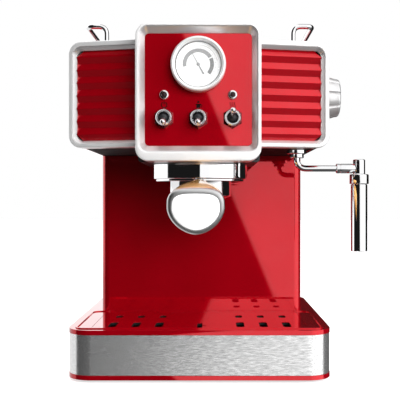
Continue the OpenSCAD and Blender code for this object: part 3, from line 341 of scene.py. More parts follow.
def rounded(points, radius, steps=4, closed=False):
    """A 2-D or 3-D polyline with its corners rounded; radius is a number or one per point."""
    pts = [Vector(p) for p in points]
    count = len(pts)
    radii = [radius] * count if isinstance(radius, (int, float)) else list(radius)
    out = []
    for i, p in enumerate(pts):
        if (not closed and i in (0, count - 1)) or radii[i] <= 0:
            out.append(p)
            continue
        a = pts[i - 1] - p
        b = pts[(i + 1) % count] - p
        half = acos(max(-1, min(1, a.normalized().dot(b.normalized())))) / 2
        cut = min(radii[i] / max(tan(half), 1e-6), a.length * 0.49, b.length * 0.49)
        start, end = p + a.normalized() * cut, p + b.normalized() * cut
        for k in range(steps + 1):
            t = k / steps
            out.append(start * (1 - t) ** 2 + p * (2 * t * (1 - t)) + end * t ** 2)
    return out


def skin(rings, ring_closed=True, section_closed=False, caps=False):
    """Quads between successive rings of equal length."""
    width = len(rings[0])
    points = [p for ring in rings for p in ring]
    faces = []
    span = len(rings) if section_closed else len(rings) - 1
    for i in range(span):
        a, b = i * width, (i + 1) % len(rings) * width
        for j in range(width if ring_closed else width - 1):
            k = (j + 1) % width
            faces.append((a + j, a + k, b + k, b + j))
    if caps:
        faces.append(tuple(range(width)))
        faces.append(tuple(range(len(points) - width, len(points))))
    if section_closed and not ring_closed:
        faces.append(tuple(i * width for i in range(len(rings))))
        faces.append(tuple(i * width + width - 1 for i in range(len(rings))))
    return points, faces


def lathe(profile, segments=96, radius=None):
    """Profile of (radius, height) turned about Z; radius(r, h, angle) may shape it."""
    rings = []
    for r, h in ((p[0], p[1]) for p in profile):
        ring = []
        for i in range(segments):
            angle = 2 * pi * i / segments
            rr = radius(r, h, angle) if radius else r
            ring.append((rr * cos(angle), rr * sin(angle), h))
        rings.append(ring)
    closed = (Vector(profile[0]) - Vector(profile[-1])).length < 1e-6
    if closed:
        rings.pop()
    ends = not closed and profile[0][0] > 1e-6
    return skin(rings, True, closed, ends)


def solid_lathe(profile, segments=96, radius=None):
    """A lathe whose ends close on the axis."""
    first, last = profile[0], profile[-1]
    return lathe([(0, first[1])] + [tuple(p)[:2] for p in profile] + [(0, last[1])], segments, radius)


def rect_ring(x0, x1, z0, z1, r, y, steps=8):
    """Points round a rectangle with arc corners, facing the front at depth y."""
    ring = []
    corners = ((x1 - r, z1 - r, 0), (x0 + r, z1 - r, 90), (x0 + r, z0 + r, 180), (x1 - r, z0 + r, 270))
    for cx, cz, start in corners:
        for k in range(steps + 1):
            a = radians(start + 90 * k / steps)
            ring.append((cx + r * cos(a), y, cz + r * sin(a)))
    return ring


def sweep(path, radius, sides=32, caps=True):
    """Round tube along a path of points."""
    pts = [Vector(p) for p in path]
    ahead = (pts[1] - pts[0]).normalized()
    side = ahead.orthogonal().normalized()
    rings = []
    for i, p in enumerate(pts):
        nxt = pts[min(i + 1, len(pts) - 1)] - pts[max(i - 1, 0)]
        turn = ahead.rotation_difference(nxt.normalized())
        side = turn @ side
        ahead = nxt.normalized()
        up = ahead.cross(side)
        rings.append([p + (side * cos(a) + up * sin(a)) * radius
                      for a in (2 * pi * k / sides for k in range(sides))])
    return skin(rings, True, False, caps)


def carry(node, finish, width=0.0, crease=30, segments=3):
    """A CAD node keeps its shape; it gets a finish, smooth shading and softened edges (mm)."""
    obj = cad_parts[node]
    mat, _ = FINISHES[finish]
    obj.data.materials.clear()
    obj.data.materials.append(mat)
    for face in obj.data.polygons:
        face.use_smooth = True
    if "custom_normal" in obj.data.attributes:
        obj.data.attributes.remove(obj.data.attributes["custom_normal"])
    weld = obj.modifiers.new("weld", "WELD")
    weld.merge_threshold = 1e-6
    if width:
        flat = obj.modifiers.new("flat", "DECIMATE")
        flat.decimate_type = "DISSOLVE"
        flat.angle_limit = radians(0.6)
        bevel = obj.modifiers.new("edges", "BEVEL")
        bevel.width = width * MM
        bevel.segments = segments
        bevel.limit_method = "ANGLE"
        bevel.angle_limit = radians(crease)
        bevel.miter_outer = "MITER_ARC"
        normals = obj.modifiers.new("normals", "WEIGHTED_NORMAL")
        normals.weight = 100
        normals.keep_sharp = True
    return obj


# ---------------------------------------------------------------- casing

def keyed_frame(keys, stops, profile, ring):
    """Section profile of (distance from the first key, depth), lofted round key rectangles.

    keys are rectangles, stops their distances, ring(rectangle, depth) gives one closed or open line.
    """
    rings = []
    for distance, depth in profile:
        i = max(k for k in range(len(stops) - 1) if distance >= stops[k] - 1e-6)
        t = (distance - stops[i]) / (stops[i + 1] - stops[i])
        rings.append(ring([a + (b - a) * t for a, b in zip(keys[i], keys[i + 1])], depth))
    return rings


def centre_frame():
    """Silver frame round the control panel: rounded outside, bevelled down to the panel."""
    low, high = box("centre_bezel")
    panel_low, panel_high = box("control_panel")
    soft, slope, land = 2.0, 5.2, 1.0
    hole = (panel_low.x - 0.1, panel_high.x + 0.1, panel_low.z - 0.1, panel_high.z + 0.1, 4.0)
    lip = (hole[0] - slope, hole[1] + slope, hole[2] - 5.5, hole[3] + 6.3, 8.6)
    face = (low.x + soft, high.x - soft, low.z + soft, high.z - soft, 10.2)
    outer = (low.x, high.x, low.z, high.z, 12.0)
    edge = slope + land + soft
    stops = (0.0, slope, slope + land, edge)
    profile = rounded([(slope, high.y), (slope, low.y), (edge, low.y), (edge, high.y)], (0, 0.3, soft, 0), 6)
    bevel = rounded([(0, high.y), (0, panel_low.y), (slope, low.y), (slope, high.y)], (0, 0.4, 0.5, 0), 6)
    for name, finish, line, nodes in (("centre_frame", "silver", profile, ("centre_bezel",)),
                                      ("centre_frame_bevel", "bevel", bevel, ())):
        rings = keyed_frame((hole, lip, face, outer), stops, line, lambda k, y: rect_ring(*k, y, 10))
        piece(name, skin(rings, True, True), "machine", finish, nodes, crease=40)


class Wing:
    """The swept right-hand wing's own frame: u outwards along it, v into it."""

    def __init__(self):
        low, high = box("right_wing_frame")
        self.sweep = radians(13)
        self.root = low.x
        self.front = low.y
        self.z0, self.z1 = low.z, high.z
        self.length = (high.x - low.x) / cos(self.sweep)
        self.depth = 14.0

    def place(self, side, u, v, z):
        s = self.sweep
        return (side * (self.root + u * cos(s) - v * sin(s)), self.front + u * sin(s) + v * cos(s), z)

    def start(self, v):
        """u where the centre frame's side cuts the wing."""
        return v * tan(self.sweep)


def wing_frame(side, name):
    wing = Wing()
    panel_low, panel_high = box("right_wing_panel")
    soft, lip, rim = 1.8, 4.2, 7.5
    edge = (wing.length, wing.z0, wing.z1, 12.0)
    face = (wing.length - soft, wing.z0 + soft, wing.z1 - soft, 12.0 - soft)
    lips = (wing.length - lip, wing.z0 + 3.4, wing.z1 - 4.8, 8.6)
    inner = (wing.length - rim, panel_low.z, panel_high.z, 6.0)
    stops = (0.0, soft, lip, rim)

    def ring(key, v):
        u1, z0, z1, r = key
        line = [(wing.start(v), z1)]
        for cz, first in ((z1 - r, 90), (z0 + r, 0)):
            turns = [radians(first - 90 * k / 10) for k in range(11)]
            line += [(u1 - r + r * cos(a), cz + r * sin(a)) for a in turns]
        line.append((wing.start(v), z0))
        return [wing.place(side, u, v, z) for u, z in line]

    outer = rounded([(0, wing.depth), (0, 0), (lip, 0), (lip, wing.depth)], (0, soft, 0.3, 0), 6)
    bevel = rounded([(lip, wing.depth), (lip, 0), (rim, 3.6), (rim, wing.depth)], (0, 0.4, 0.4, 0), 6)
    for part, finish, line, nodes in ((name, "silver", outer, (name,)),
                                      (name + "_bevel", "bevel", bevel, ())):
        rings = keyed_frame((edge, face, lips, inner), stops, line, ring)
        piece(part, skin(rings, False, True), "machine", finish, nodes, crease=40)


def wing_panel(side, name):
    """Seven pressed ridges, each with an upper and a lower flank."""
    wing = Wing()
    low, high = box("right_wing_panel")
    z0, z1 = low.z, high.z
    count, valley, crest, foot = 7, 6.0, 2.5, 0.5
    pitch = (z1 - z0) / count
    line, radii = [], []
    for i in range(count):
        line += [(valley, z1 - i * pitch), (crest, z1 - (i + foot) * pitch)]
        radii += [0.4 if i else 0, 0.8]
    line += [(valley, z0), (wing.depth - 1, z0), (wing.depth - 1, z1)]
    radii += [0, 0, 0]
    section = rounded(line, radii, 6)
    corner, tip = 6.0, wing.length - 7.5

    def end(z):
        over = max(0.0, z - (z1 - corner), (z0 + corner) - z)
        return tip - corner + (max(0.0, corner ** 2 - over ** 2)) ** 0.5

    rings = [[wing.place(side, wing.start(v), v, z) for v, z in section],
             [wing.place(side, end(z), v, z) for v, z in section]]
    piece(name, skin(rings, True, False, True), "machine", "red_gloss", (name,), crease=24)


def casing():
    carry("base_housing", "red_gloss", 1.2)
    carry("steel_band", "steel", 0.12)
    carry("base_plate", "black", 0.3)
    carry("base_screws", "plain", 0.2)
    carry("column_front", "red_gloss", 0.4)
    carry("column_shell", "red_casing", 0.3)
    carry("head_shell", "red_casing", 0.8)
    carry("head_floor", "matt_black", 0.3)
    carry("top_deck", "red_casing", 0.3)
    carry("turret_shell", "black", 0.6)
    carry("control_panel", "red_gloss", 0.2)
    carry("cord_gland", "black", 0.4)
    carry("feet", "rubber", 0.5)
    centre_frame()
    for side, name in ((1, "right_wing"), (-1, "left_wing")):
        wing_frame(side, name + "_frame")
        wing_panel(side, name + "_panel")


# ---------------------------------------------------------------- controls

def stroke(line, width, y, depth=0.12):
    """Flat printed line of (x, z) points, standing depth in front of y."""
    pts = [Vector(p) for p in line]
    rings = []
    for i, p in enumerate(pts):
        along = (pts[min(i + 1, len(pts) - 1)] - pts[max(i - 1, 0)]).normalized()
        side = Vector((-along.y, along.x)) * width / 2
        rings.append([(p.x + side.x, y, p.y + side.y), (p.x - side.x, y, p.y - side.y),
                      (p.x - side.x, y - depth, p.y - side.y), (p.x + side.x, y - depth, p.y + side.y)])
    return skin(rings, True, False, True)


def arc(cx, cz, r, start, end, steps=40):
    """(x, z) points of an arc, angles in degrees from +X."""
    return [(cx + r * cos(radians(start + (end - start) * k / steps)),
             cz + r * sin(radians(start + (end - start) * k / steps))) for k in range(steps + 1)]


def disc_plate(cx, cz, r, y, depth):
    return moved(solid_lathe([(r, 0), (r, depth)], 48), at(cx, y, cz, (0, -1, 0)))


def gauge():
    """Pressure gauge: rolled bezel, printed dial with grey zones, thin pointer, clear lens."""
    bezel_low, bezel_high = box("gauge_bezel")
    centre = middle("gauge_bezel")
    x, z = centre.x, centre.z
    outer = (bezel_high.x - bezel_low.x) / 2
    inner = outer - 3.9
    base, top = bezel_high.y, bezel_low.y
    height = base - top
    crown, half = (outer + inner) / 2, (outer - inner) / 2
    roll = [(crown + half * cos(radians(a)), height - 3.3 + 3.3 * sin(radians(a))) for a in range(0, 181, 10)]
    profile = [(inner, 0), (outer - 0.3, 0), (outer, 0.3)] + roll + [(inner, 0)]
    piece("gauge_bezel", lathe(profile, 128), "machine", "silver", ("gauge_bezel",),
          at(x, base, z, (0, -1, 0)), crease=50)
    carry("gauge_case", "black", 0.2)

    face = box("gauge_dial")[0].y
    radius = (box("gauge_dial")[1].x - box("gauge_dial")[0].x) / 2
    dial = solid_lathe([(radius, 0), (radius, 0.7), (radius - 0.3, 1.0)], 96)
    piece("gauge_dial", dial, "machine", "dial", ("gauge_dial",), at(x, face + 1, z, (0, -1, 0)))
    band, width = 12.4, 3.5

    def spoke(angle, start, end, thick):
        a = radians(angle)
        return stroke([(x + r * cos(a), z + r * sin(a)) for r in (start, end)], thick, face)

    prints = (("dial_working_zone", "mid_print", [stroke(arc(x, z, band, 190, 30, 60), width, face)]),
              ("dial_high_zone", "grey_print", [stroke(arc(x, z, band, 25, -42, 30), width, face)]),
              ("dial_low_zone", "pale_print",
               [stroke(arc(x, z, band + k * (width / 2 - 0.15), 226, 195, 14), 0.3, face) for k in (-1, 1)]
               + [spoke(a, band - width / 2, band + width / 2, 0.3) for a in (226, 195)]
               + [stroke(arc(x, z, 17.2, 218, 10, 60), 0.45, face)]),
              ("dial_graduation", "grey_print",
               [spoke(a, 15.0, 16.0, 0.22) for a in range(-40, 231, 15)]))
    for name, finish, shapes in prints:
        piece(name, join_shapes(*shapes), "machine", finish)

    rest = radians(90 + 28.8)
    along = Vector((cos(rest), 0, sin(rest)))
    across = Vector((-along.z, 0, along.x))
    hub = Vector((x, face - 0.5, z))
    needle = []
    for distance, wide in ((-10.4, 1.25), (-9.9, 1.35), (0, 0.85), (11.0, 0.32), (11.5, 0.1)):
        mid = hub + along * distance
        needle.append([mid + across * (wide / 2), mid - Vector((0, 0.25, 0)), mid - across * (wide / 2),
                       mid + Vector((0, 0.1, 0))])
    boss = moved(solid_lathe([(1.5, 0), (1.5, 0.5), (1.2, 0.8), (0.5, 0.95)], 32),
                 at(x, face - 0.2, z, (0, -1, 0)))
    piece("gauge_needle", join_shapes(skin(needle, True, False, True), boss), "needle", "mid_print",
          ("gauge_needle",))

    lens_low, lens_high = box("gauge_lens")
    r = (lens_high.x - lens_low.x) / 2
    dome = [(r, 0), (r, 0.3)]
    dome += [(r * cos(radians(a)), 0.3 + 0.7 * sin(radians(a))) for a in range(10, 90, 10)]
    piece("gauge_lens", solid_lathe(dome, 96), "machine", "lens", ("gauge_lens",),
          at(x, lens_high.y, z, (0, -1, 0)), crease=60)


def hexagon_nut(flats, height, hole):
    """Nut with chamfered corners, one corner up once it faces the front."""
    corner = flats / cos(radians(30)) / 2
    segments = 96

    def hex_radius(r, h, angle):
        if r <= hole + 0.6:
            return r
        flat = (flats / 2) / cos((angle + radians(30)) % radians(60) - radians(30))
        return min(flat, r)

    profile = [(hole, 0), (corner, 0), (corner, height - 0.9), (flats / 2 + 0.25, height - 0.25),
               (flats / 2 - 0.4, height), (hole + 0.5, height), (hole, height - 0.5), (hole, 0)]
    return lathe(profile, segments, hex_radius)


def toggles():
    """Three bat-lever switches: hexagon nut, knurled dress ring, lever on its ball."""
    panel = box("control_panel")[0].y
    low, high = box("toggle_collars")
    ring_r = (high.z - low.z) / 2
    nut_height = 3.0
    length = panel - nut_height - low.y
    z = middle("toggle_collars").z
    pitch = (high.x - low.x) / 2 - ring_r
    knurls = 30

    def knurled(r, h, angle):
        if r > ring_r - 0.2 and 1.6 < h < length - 1.4:
            return r - 0.3 * (0.5 + 0.5 * cos(knurls * angle))
        return r

    edge = [(ring_r, 0), (ring_r, 1.4), (ring_r - 0.02, 1.7), (ring_r - 0.02, length - 1.7),
            (ring_r, length - 1.3), (ring_r, length - 0.6)]
    mouth = [(ring_r - 0.6, length), (5.4, length), (4.9, length - 0.5), (4.4, length - 1.6), (4.4, 0)]
    collar = lathe([(4.4, 0)] + edge + mouth, 240, knurled)
    # the CAD nut has a flat at top and bottom, so its height is its size across flats
    nut_low, nut_high = box("toggle_nuts")
    nut = hexagon_nut(nut_high.z - nut_low.z, nut_height, 5.95)
    stands = [at(x, panel, z, (0, -1, 0)) for x in (-pitch, 0, pitch)]
    # the nuts use the darker red, painted shade against the panel
    piece("toggle_nuts", join_shapes(*(moved(nut, m) for m in stands)), "machine", "shaded_red_nut",
          ("toggle_nuts",), crease=25)
    on_nut = Matrix.Translation((0, 0, nut_height))
    piece("toggle_collars", join_shapes(*(moved(collar, m @ on_nut) for m in stands)),
          "machine", "soft_chrome", ("toggle_collars",), crease=35)
    carry("toggle_bodies", "black", 0.2)
    ball, arm = 4.0, 15.0
    tilt = radians(20)
    for name, side in (("left", -1), ("centre", -1), ("right", 1)):
        node = "toggle_lever_" + name
        low, high = box(node)
        pivot = Vector(((low.x + high.x) / 2, high.y - ball, z))
        joint = [(ball * sin(radians(a)), -ball * cos(radians(a))) for a in range(20, 160, 10)]
        lever = [(1.75, 3.2), (1.75, 5.0), (1.95, 8.0), (2.35, 11.5)]
        lever += [(2.7 * sin(radians(a)), arm - 2.7 * cos(radians(a))) for a in range(60, 180, 12)]
        along = (0, -cos(tilt), side * sin(tilt))
        pin = moved(solid_lathe([(1.2, -5.2), (1.2, 5.2)], 24), at(*pivot, (1, 0, 0)))
        piece(node, moved(solid_lathe(lever, 48), at(*pivot, along)), "lever_" + name, "soft_chrome",
              (node,), crease=50)
        piece("toggle_ball_" + name, join_shapes(moved(solid_lathe(joint, 48), at(*pivot, along)), pin),
              "lever_" + name, "black", (), crease=50)


def lamps():
    """Two indicator lamps: rounded chrome bezel on a sleeve, dark domed lens."""
    low, high = box("led_bezels")
    r = (high.z - low.z) / 2
    pitch = (high.x - low.x) / 2 - r
    z = middle("led_bezels").z
    panel = box("control_panel")[0].y
    proud = panel - low.y
    bore, sleeve, skirt, turned = 2.5, 2.9, 0.7, 0.9
    crown = [(r - turned + turned * cos(radians(a)), skirt + (proud - skirt) * sin(radians(a)))
             for a in range(15, 91, 15)]
    lip = [(2.6, proud), (bore, proud - 0.1), (bore, 0)]
    ring = lathe([(bore, 0), (r, 0), (r, skirt)] + crown + lip, 64)
    tube = lathe([(bore, -9), (sleeve, -9), (sleeve, 0.2), (bore, 0.2), (bore, -9)], 48)
    places = [at(x, panel, z, (0, -1, 0)) for x in (-pitch, pitch)]
    bezel = join_shapes(ring, tube)
    piece("led_bezels", join_shapes(*(moved(bezel, m) for m in places)), "machine", "chrome",
          ("led_bezels",), crease=40)
    lens_r = 2.4
    lens = [(lens_r, -8.0), (lens_r, 1.0)]
    lens += [(lens_r * cos(radians(a)), 1.0 + sin(radians(a))) for a in range(15, 90, 15)]
    piece("led_lenses", join_shapes(*(moved(solid_lathe(lens, 48), m) for m in places)), "machine", "lamp",
          ("led_lenses",), crease=50)


def symbols():
    """Printed marks over the switches: power ring, cup with a drop, steam."""
    panel = box("control_panel")[0].y
    pitch = middle("toggle_lever_right").x
    z = (middle("toggle_collars").z + middle("led_bezels").z) / 2 + 1.6
    power = [stroke(arc(-pitch, z, 2.5, 60, -240, 36), 0.75, panel),
             stroke([(-pitch, z + 3.1), (-pitch, z + 0.6)], 0.75, panel)]
    cup = [stroke([(-2.5, z + 0.4), (2.5, z + 0.4)], 0.9, panel),
           stroke([(0, z + 0.4), (0, z - 2.6)], 3.6, panel),
           stroke(arc(2.1, z - 0.9, 1.1, -80, 80, 12), 0.5, panel),
           disc_plate(0, z + 2.6, 0.95, panel, 0.12)]
    steam = [stroke([(pitch + dx + 0.5 * sin(k * pi / 5), z - 2.5 + 0.5 * k) for k in range(11)], 0.55, panel)
             for dx in (-1.9, 0, 1.9)]
    for name, shapes in (("power_symbol", power), ("cup_symbol", cup), ("steam_symbol", steam)):
        piece(name, join_shapes(*shapes), "machine", "black_print")


def controls():
    gauge()
    toggles()
    lamps()
    symbols()


# ---------------------------------------------------------------- group and portafilter

def arc_points(cx, cy, r, start, end, steps=6):
    """Profile points of an arc, angles in degrees."""
    return [(cx + r * cos(radians(start + (end - start) * k / steps)),
             cy + r * sin(radians(start + (end - start) * k / steps))) for k in range(steps + 1)]


def group_ring():
    """Chrome group ring with a stepped flange, a joint groove and the bayonet bore."""
    low, high = box("group_head")
    centre = middle("group_head")
    outer = (high.x - low.x) / 2
    step = low.z + 2.2
    bore, ceiling, groove = 36.2, 205.0, 40.3
    seam = radians(-35.4)

    def seamed(r, h, angle):
        near = abs((angle - seam + pi) % (2 * pi) - pi)
        return r - 1.0 if r > outer - 1.5 and near < radians(1.1) and step + 1 < h < step + 14 else r

    profile = [(0, ceiling), (bore, ceiling), (bore, 201.2), (groove, 201.2), (groove, 197.1), (bore, 197.1),
               (bore, low.z), (outer - 2.5, low.z)]
    profile += arc_points(outer - 2.5, low.z + 0.5, 0.5, -90, 0, 4)
    profile += [(outer - 2.0, step - 0.3), (outer - 1.2, step)]
    profile += arc_points(outer - 0.8, step + 0.8, 0.8, -90, 0, 4)
    profile += [(outer, step + 2 + k) for k in range(12)]
    profile += [(outer, high.z - 0.5), (outer - 0.5, high.z), (0, high.z)]
    piece("group_ring", lathe(profile, 320, seamed), "machine", "chrome", ("group_head",),
          at(centre.x, centre.y, 0), crease=35)
    carry("group_gasket", "rubber", 0.3)
    carry("shower_screen", "plain", 0.2)


def lug(radius, half, z0, z1, about):
    """Bayonet lug: a block between two arcs."""
    inner = radius - 8
    soft = 0.6
    section = ((inner, z0), (radius - soft, z0), (radius, z0 + soft),
               (radius, z1 - soft), (radius - soft, z1), (inner, z1))
    rings = []
    for k in range(9):
        a = radians(about - half + 2 * half * k / 8)
        rings.append([(r * cos(a), r * sin(a), z) for r, z in section])
    return skin(rings, True, False, True)


BARREL = 31.0                   # radius of the portafilter's barrel


def portafilter():
    axis = middle("group_head")
    place = at(axis.x, axis.y, 0)
    low, high = box("portafilter_body")
    barrel, cone, bore, wall_z = BARREL, low.z, 28.2, 179.0
    top, lugs = high.z, high.x
    profile = [(6.0, cone), (14.5, cone)] + arc_points(14.5, cone + 0.5, 0.5, -90, -30, 3)
    profile += [(barrel - 3.2, cone + 5.4)] + arc_points(barrel - 2.0, cone + 8.0, 2.0, -45, 0, 6)
    profile += [(barrel, 193.0), (barrel + 0.8, 194.5), (35.0, 195.5), (35.5, 196.0), (35.5, top - 0.5),
                (35.0, top), (bore + 0.5, top), (bore, top - 0.5), (bore, wall_z), (6.0, wall_z), (6.0, cone)]
    body = join_shapes(lathe(profile, 160), lug(lugs, 15, 197.6, top, 0), lug(lugs, 15, 197.6, top, 180))
    piece("portafilter_body", body, "portafilter", "chrome", ("portafilter_body",), place, crease=35)
    carry("filter_basket", "plain", 0.2)

    low, high = box("portafilter_spout")
    r = 5.5
    reach = high.x - r
    level = low.z + 8.0
    mouth = low.z + 0.6
    bridge = rounded([(-reach, 0, mouth), (-reach, 0, level), (reach, 0, level), (reach, 0, mouth)], 5.0, 10)
    lip = lathe([(3.9, 0), (5.0, 0), (r, 0.5), (r, 3.0), (r + 0.35, 3.4), (r + 0.35, 4.2), (r, 4.6),
                 (r - 0.2, 5.0), (3.9, 5.0), (3.9, 0)], 48)
    shapes = [sweep(bridge, r - 0.15, 40, False)]
    shapes += [moved(lip, at(x, 0, low.z)) for x in (-reach, reach)]
    shapes.append(solid_lathe([(8.2, level), (9, level + 0.8), (9, cone - 0.6), (8.6, cone), (5.9, cone),
                               (5.9, high.z)], 64))
    piece("portafilter_spout", join_shapes(*shapes), "portafilter", "chrome", ("portafilter_spout",),
          place, crease=35)


def shield(half_w, half_h, square, segments=96):
    """Handle outline: flat on top, widest above the middle, narrowing to a round underside."""
    rise = 0.42 * 2 * half_h
    fall = 2 * half_h - rise
    out = []
    for i in range(segments):
        a = 2 * pi * i / segments
        c, s = cos(a), sin(a)
        n = 2 + (1.4 if s > 0 else -0.22) * square
        x = half_w * (abs(c) ** (2 / n)) * (1 if c >= 0 else -1)
        y = (rise if s >= 0 else fall) * (abs(s) ** (2 / n)) * (1 if s >= 0 else -1)
        out.append((x, y + (fall - rise) / 2))
    return out


def handle_loft(stations):
    """Rings (distance, half width, half height, squareness) along the handle, closed at both ends."""
    rings = [[(x, y, z) for x, y in shield(w, h, q)] for z, w, h, q in stations]
    return skin(rings, True, False, True)


def handle():
    """Turned wooden grip that swells into a broad silver end cap, on a chrome neck."""
    axis = middle("group_head")
    height, slope = 186.0, 8.9
    turn = Matrix.Translation((axis.x, axis.y - BARREL, height))
    turn = turn @ Matrix.Rotation(radians(90 + slope), 4, "X")
    neck, ferrule, length, cap = 17.0, 21.0, 116.0, 11.0
    profile = [(4.6, -3.5), (4.6, neck - 0.4), (5.0, neck), (8.4, neck)]
    profile += arc_points(8.4, neck + 0.6, 0.6, -90, 0, 4)
    profile += [(9.0, ferrule - 0.3), (8.7, ferrule)]
    piece("portafilter_ferrule", solid_lathe(profile, 64), "portafilter", "chrome",
          ("portafilter_ferrule",), turn, crease=35)

    end = ferrule + length
    stations = [(ferrule, 8.6, 8.6, 0), (ferrule + 0.6, 9.6, 9.6, 0), (ferrule + 2.2, 10.2, 10.2, 0.05)]
    for k in range(1, 24):
        t = k / 24
        swell = sin(pi / 2 * t) ** 1.3
        stations.append((ferrule + 2.2 + (length - 3.4) * t, 10.2 + 11.6 * swell, 10.2 + 7.4 * swell, t))
    stations += [(end - 0.6, 21.7, 17.5, 1), (end - 0.05, 21.0, 16.8, 1)]
    piece("portafilter_handle", handle_loft(stations), "portafilter", "wood", ("portafilter_handle",),
          turn, crease=50)

    front, lip = end + cap, 4.2
    rim = [(end, 20.8, 16.6), (end + 0.05, 21.6, 17.4), (end + 0.6, 22.2, 17.95), (end + 2.5, 22.6, 18.3),
           (front - 3.2, 22.7, 18.4)]
    for a in range(10, 71, 10):
        turned = 1 - cos(radians(a))
        rim.append((front - 3.2 + 2.6 * sin(radians(a)), 22.7 - lip * turned, 18.4 - lip * turned))
    rim.append((front - 0.9, 22.7 - lip, 18.4 - lip))
    piece("handle_cap_rim", handle_loft([(z, w, h, 1) for z, w, h in rim]), "portafilter", "satin",
          ("handle_cap",), turn, crease=50)
    wide, tall = 22.7 - lip + 0.3, 18.4 - lip + 0.3
    face = [(front - 2.0, wide, tall), (front - 0.9, wide, tall), (front - 0.6, wide - 0.5, tall - 0.5)]
    crown = ((0.8, 0.3), (0.55, 0.65), (0.3, 0.9), (0.1, 1))
    face += [(front - 0.6 * (1 - rise), wide * t, tall * t) for t, rise in crown]
    piece("handle_cap_face", handle_loft([(z, w, h, 1) for z, w, h in face]), "portafilter", "bright",
          (), turn, crease=50)


def group():
    group_ring()
    portafilter()
    handle()


# ---------------------------------------------------------------- steam side

def knob():
    """Fluted steam knob with a rolled front edge and a dished face."""
    low, high = box("steam_knob")
    r = (high.z - low.z) / 2
    front, depth = high.x, 21.3
    flutes, first = 9, radians(101)

    def fluted(radius, h, angle):
        if radius < r * 0.68:
            return radius
        start = min(1.0, max(0.0, (h - 4.5) / 3.0))
        groove = max(0.0, cos(flutes * (angle - first))) ** 9
        return radius - 1.6 * groove * start

    profile = [(4.0, 0), (r - 0.8, 0)] + arc_points(r - 0.8, 0.8, 0.8, -90, 0, 4)
    profile += [(r, 4.5), (r, 5.2), (r, 6.0), (r, 7.0), (r, 7.5), (r - 0.8, 12.0), (r - 2.4, depth - 3.6)]
    profile += arc_points(r - 5.3, depth - 2.9, 2.9, 0, 90, 8)
    profile += [(r - 6.6, depth), (r - 8.4, depth - 0.6), (r - 11, depth - 0.9), (3.0, depth - 1.0)]
    shape = join_shapes(solid_lathe(profile, 270, fluted), solid_lathe([(3, -16), (3, 1)], 32))
    place = at(front - depth, middle("steam_knob").y, (low.z + high.z) / 2, (1, 0, 0))
    piece("steam_knob", shape, "knob", "bevel", ("steam_knob",), place, crease=32)


def wand():
    """Bent steam tube with its swivel collar, tee fitting, ring and froth sleeve."""
    low, high = box("wand_socket")
    x, y = middle("wand_socket").x, middle("wand_socket").y
    mouth, head = low.z, box("head_floor")[0].z
    profile = [(3.05, mouth), (6.4, mouth)] + arc_points(6.4, mouth + 0.6, 0.6, -90, 0, 4)
    profile += [(7.0, mouth + 3.6), (7.4, mouth + 4.0), (8.8, mouth + 4.0)]
    profile += arc_points(8.8, mouth + 4.6, 0.6, -90, 0, 4)
    profile += [(9.4, head), (3.5, head), (3.5, high.z), (3.05, high.z), (3.05, mouth)]
    piece("wand_socket", lathe(profile, 64), "machine", "chrome", ("wand_socket",), at(x, y, 0), crease=35)

    low, high = box("steam_arm")
    pipe = 3.0
    level = low.z + pipe
    line = rounded([(x, y, high.z), (x, y, level), (high.x, y, level)], 10.0, 16)
    seat = high.z - 2.5
    stop = lathe([(2.8, seat), (5.6, seat), (5.6, high.z), (2.8, high.z), (2.8, seat)], 48)
    piece("steam_arm", join_shapes(sweep(line, pipe, 40), moved(stop, at(x, y, 0))), "wand", "chrome",
          ("steam_arm",), crease=40)

    low, high = box("wand_fitting")
    tee = Vector(((box("froth_sleeve")[0].x + box("froth_sleeve")[1].x) / 2, y, 0))
    collar = [(pipe, 0), (4.2, 0), (4.65, 0.45), (4.65, 3.2), (4.3, 3.5), (4.3, 4.1), (4.65, 4.4),
              (4.65, 15.5), (4.2, 16.2), (4.2, tee.x - low.x), (0, tee.x - low.x)]
    ring = box("froth_sleeve")[1].z + 0.3
    body = [(0, ring), (8.7, ring)] + arc_points(8.7, ring + 0.6, 0.6, -90, 0, 4)
    body += arc_points(8.3, ring + 8.4, 1.0, 0, 90, 5)
    body += [(6.4, ring + 9.5), (5.85, ring + 10.0), (5.85, high.z - 1.2)]
    body += arc_points(4.65, high.z - 1.2, 1.2, 0, 90, 6) + [(0, high.z)]
    tube = lathe([(1.0, low.z), (2.6, low.z), (pipe, low.z + 0.4), (pipe, ring + 1), (1.0, ring + 1),
                  (1.0, low.z)], 40)
    shapes = [moved(lathe(collar, 64), at(low.x, y, level, (1, 0, 0))),
              moved(lathe(body, 72), at(tee.x, y, 0)),
              moved(tube, at(tee.x, y, 0))]
    piece("wand_fitting", join_shapes(*shapes), "wand", "chrome", ("wand_fitting",), crease=35)

    low, high = box("froth_sleeve")
    r = (high.x - low.x) / 2
    profile = [(6.6, low.z + 0.4), (7.0, low.z), (7.6, low.z), (r, low.z + 0.4), (r, high.z - 0.6),
               (r - 0.6, high.z), (3.05, high.z), (3.05, high.z - 10), (6.6, high.z - 10), (6.6, low.z + 0.4)]
    piece("froth_sleeve", lathe(profile, 96), "sleeve", "chrome", ("froth_sleeve",), at(tee.x, y, 0),
          crease=35)


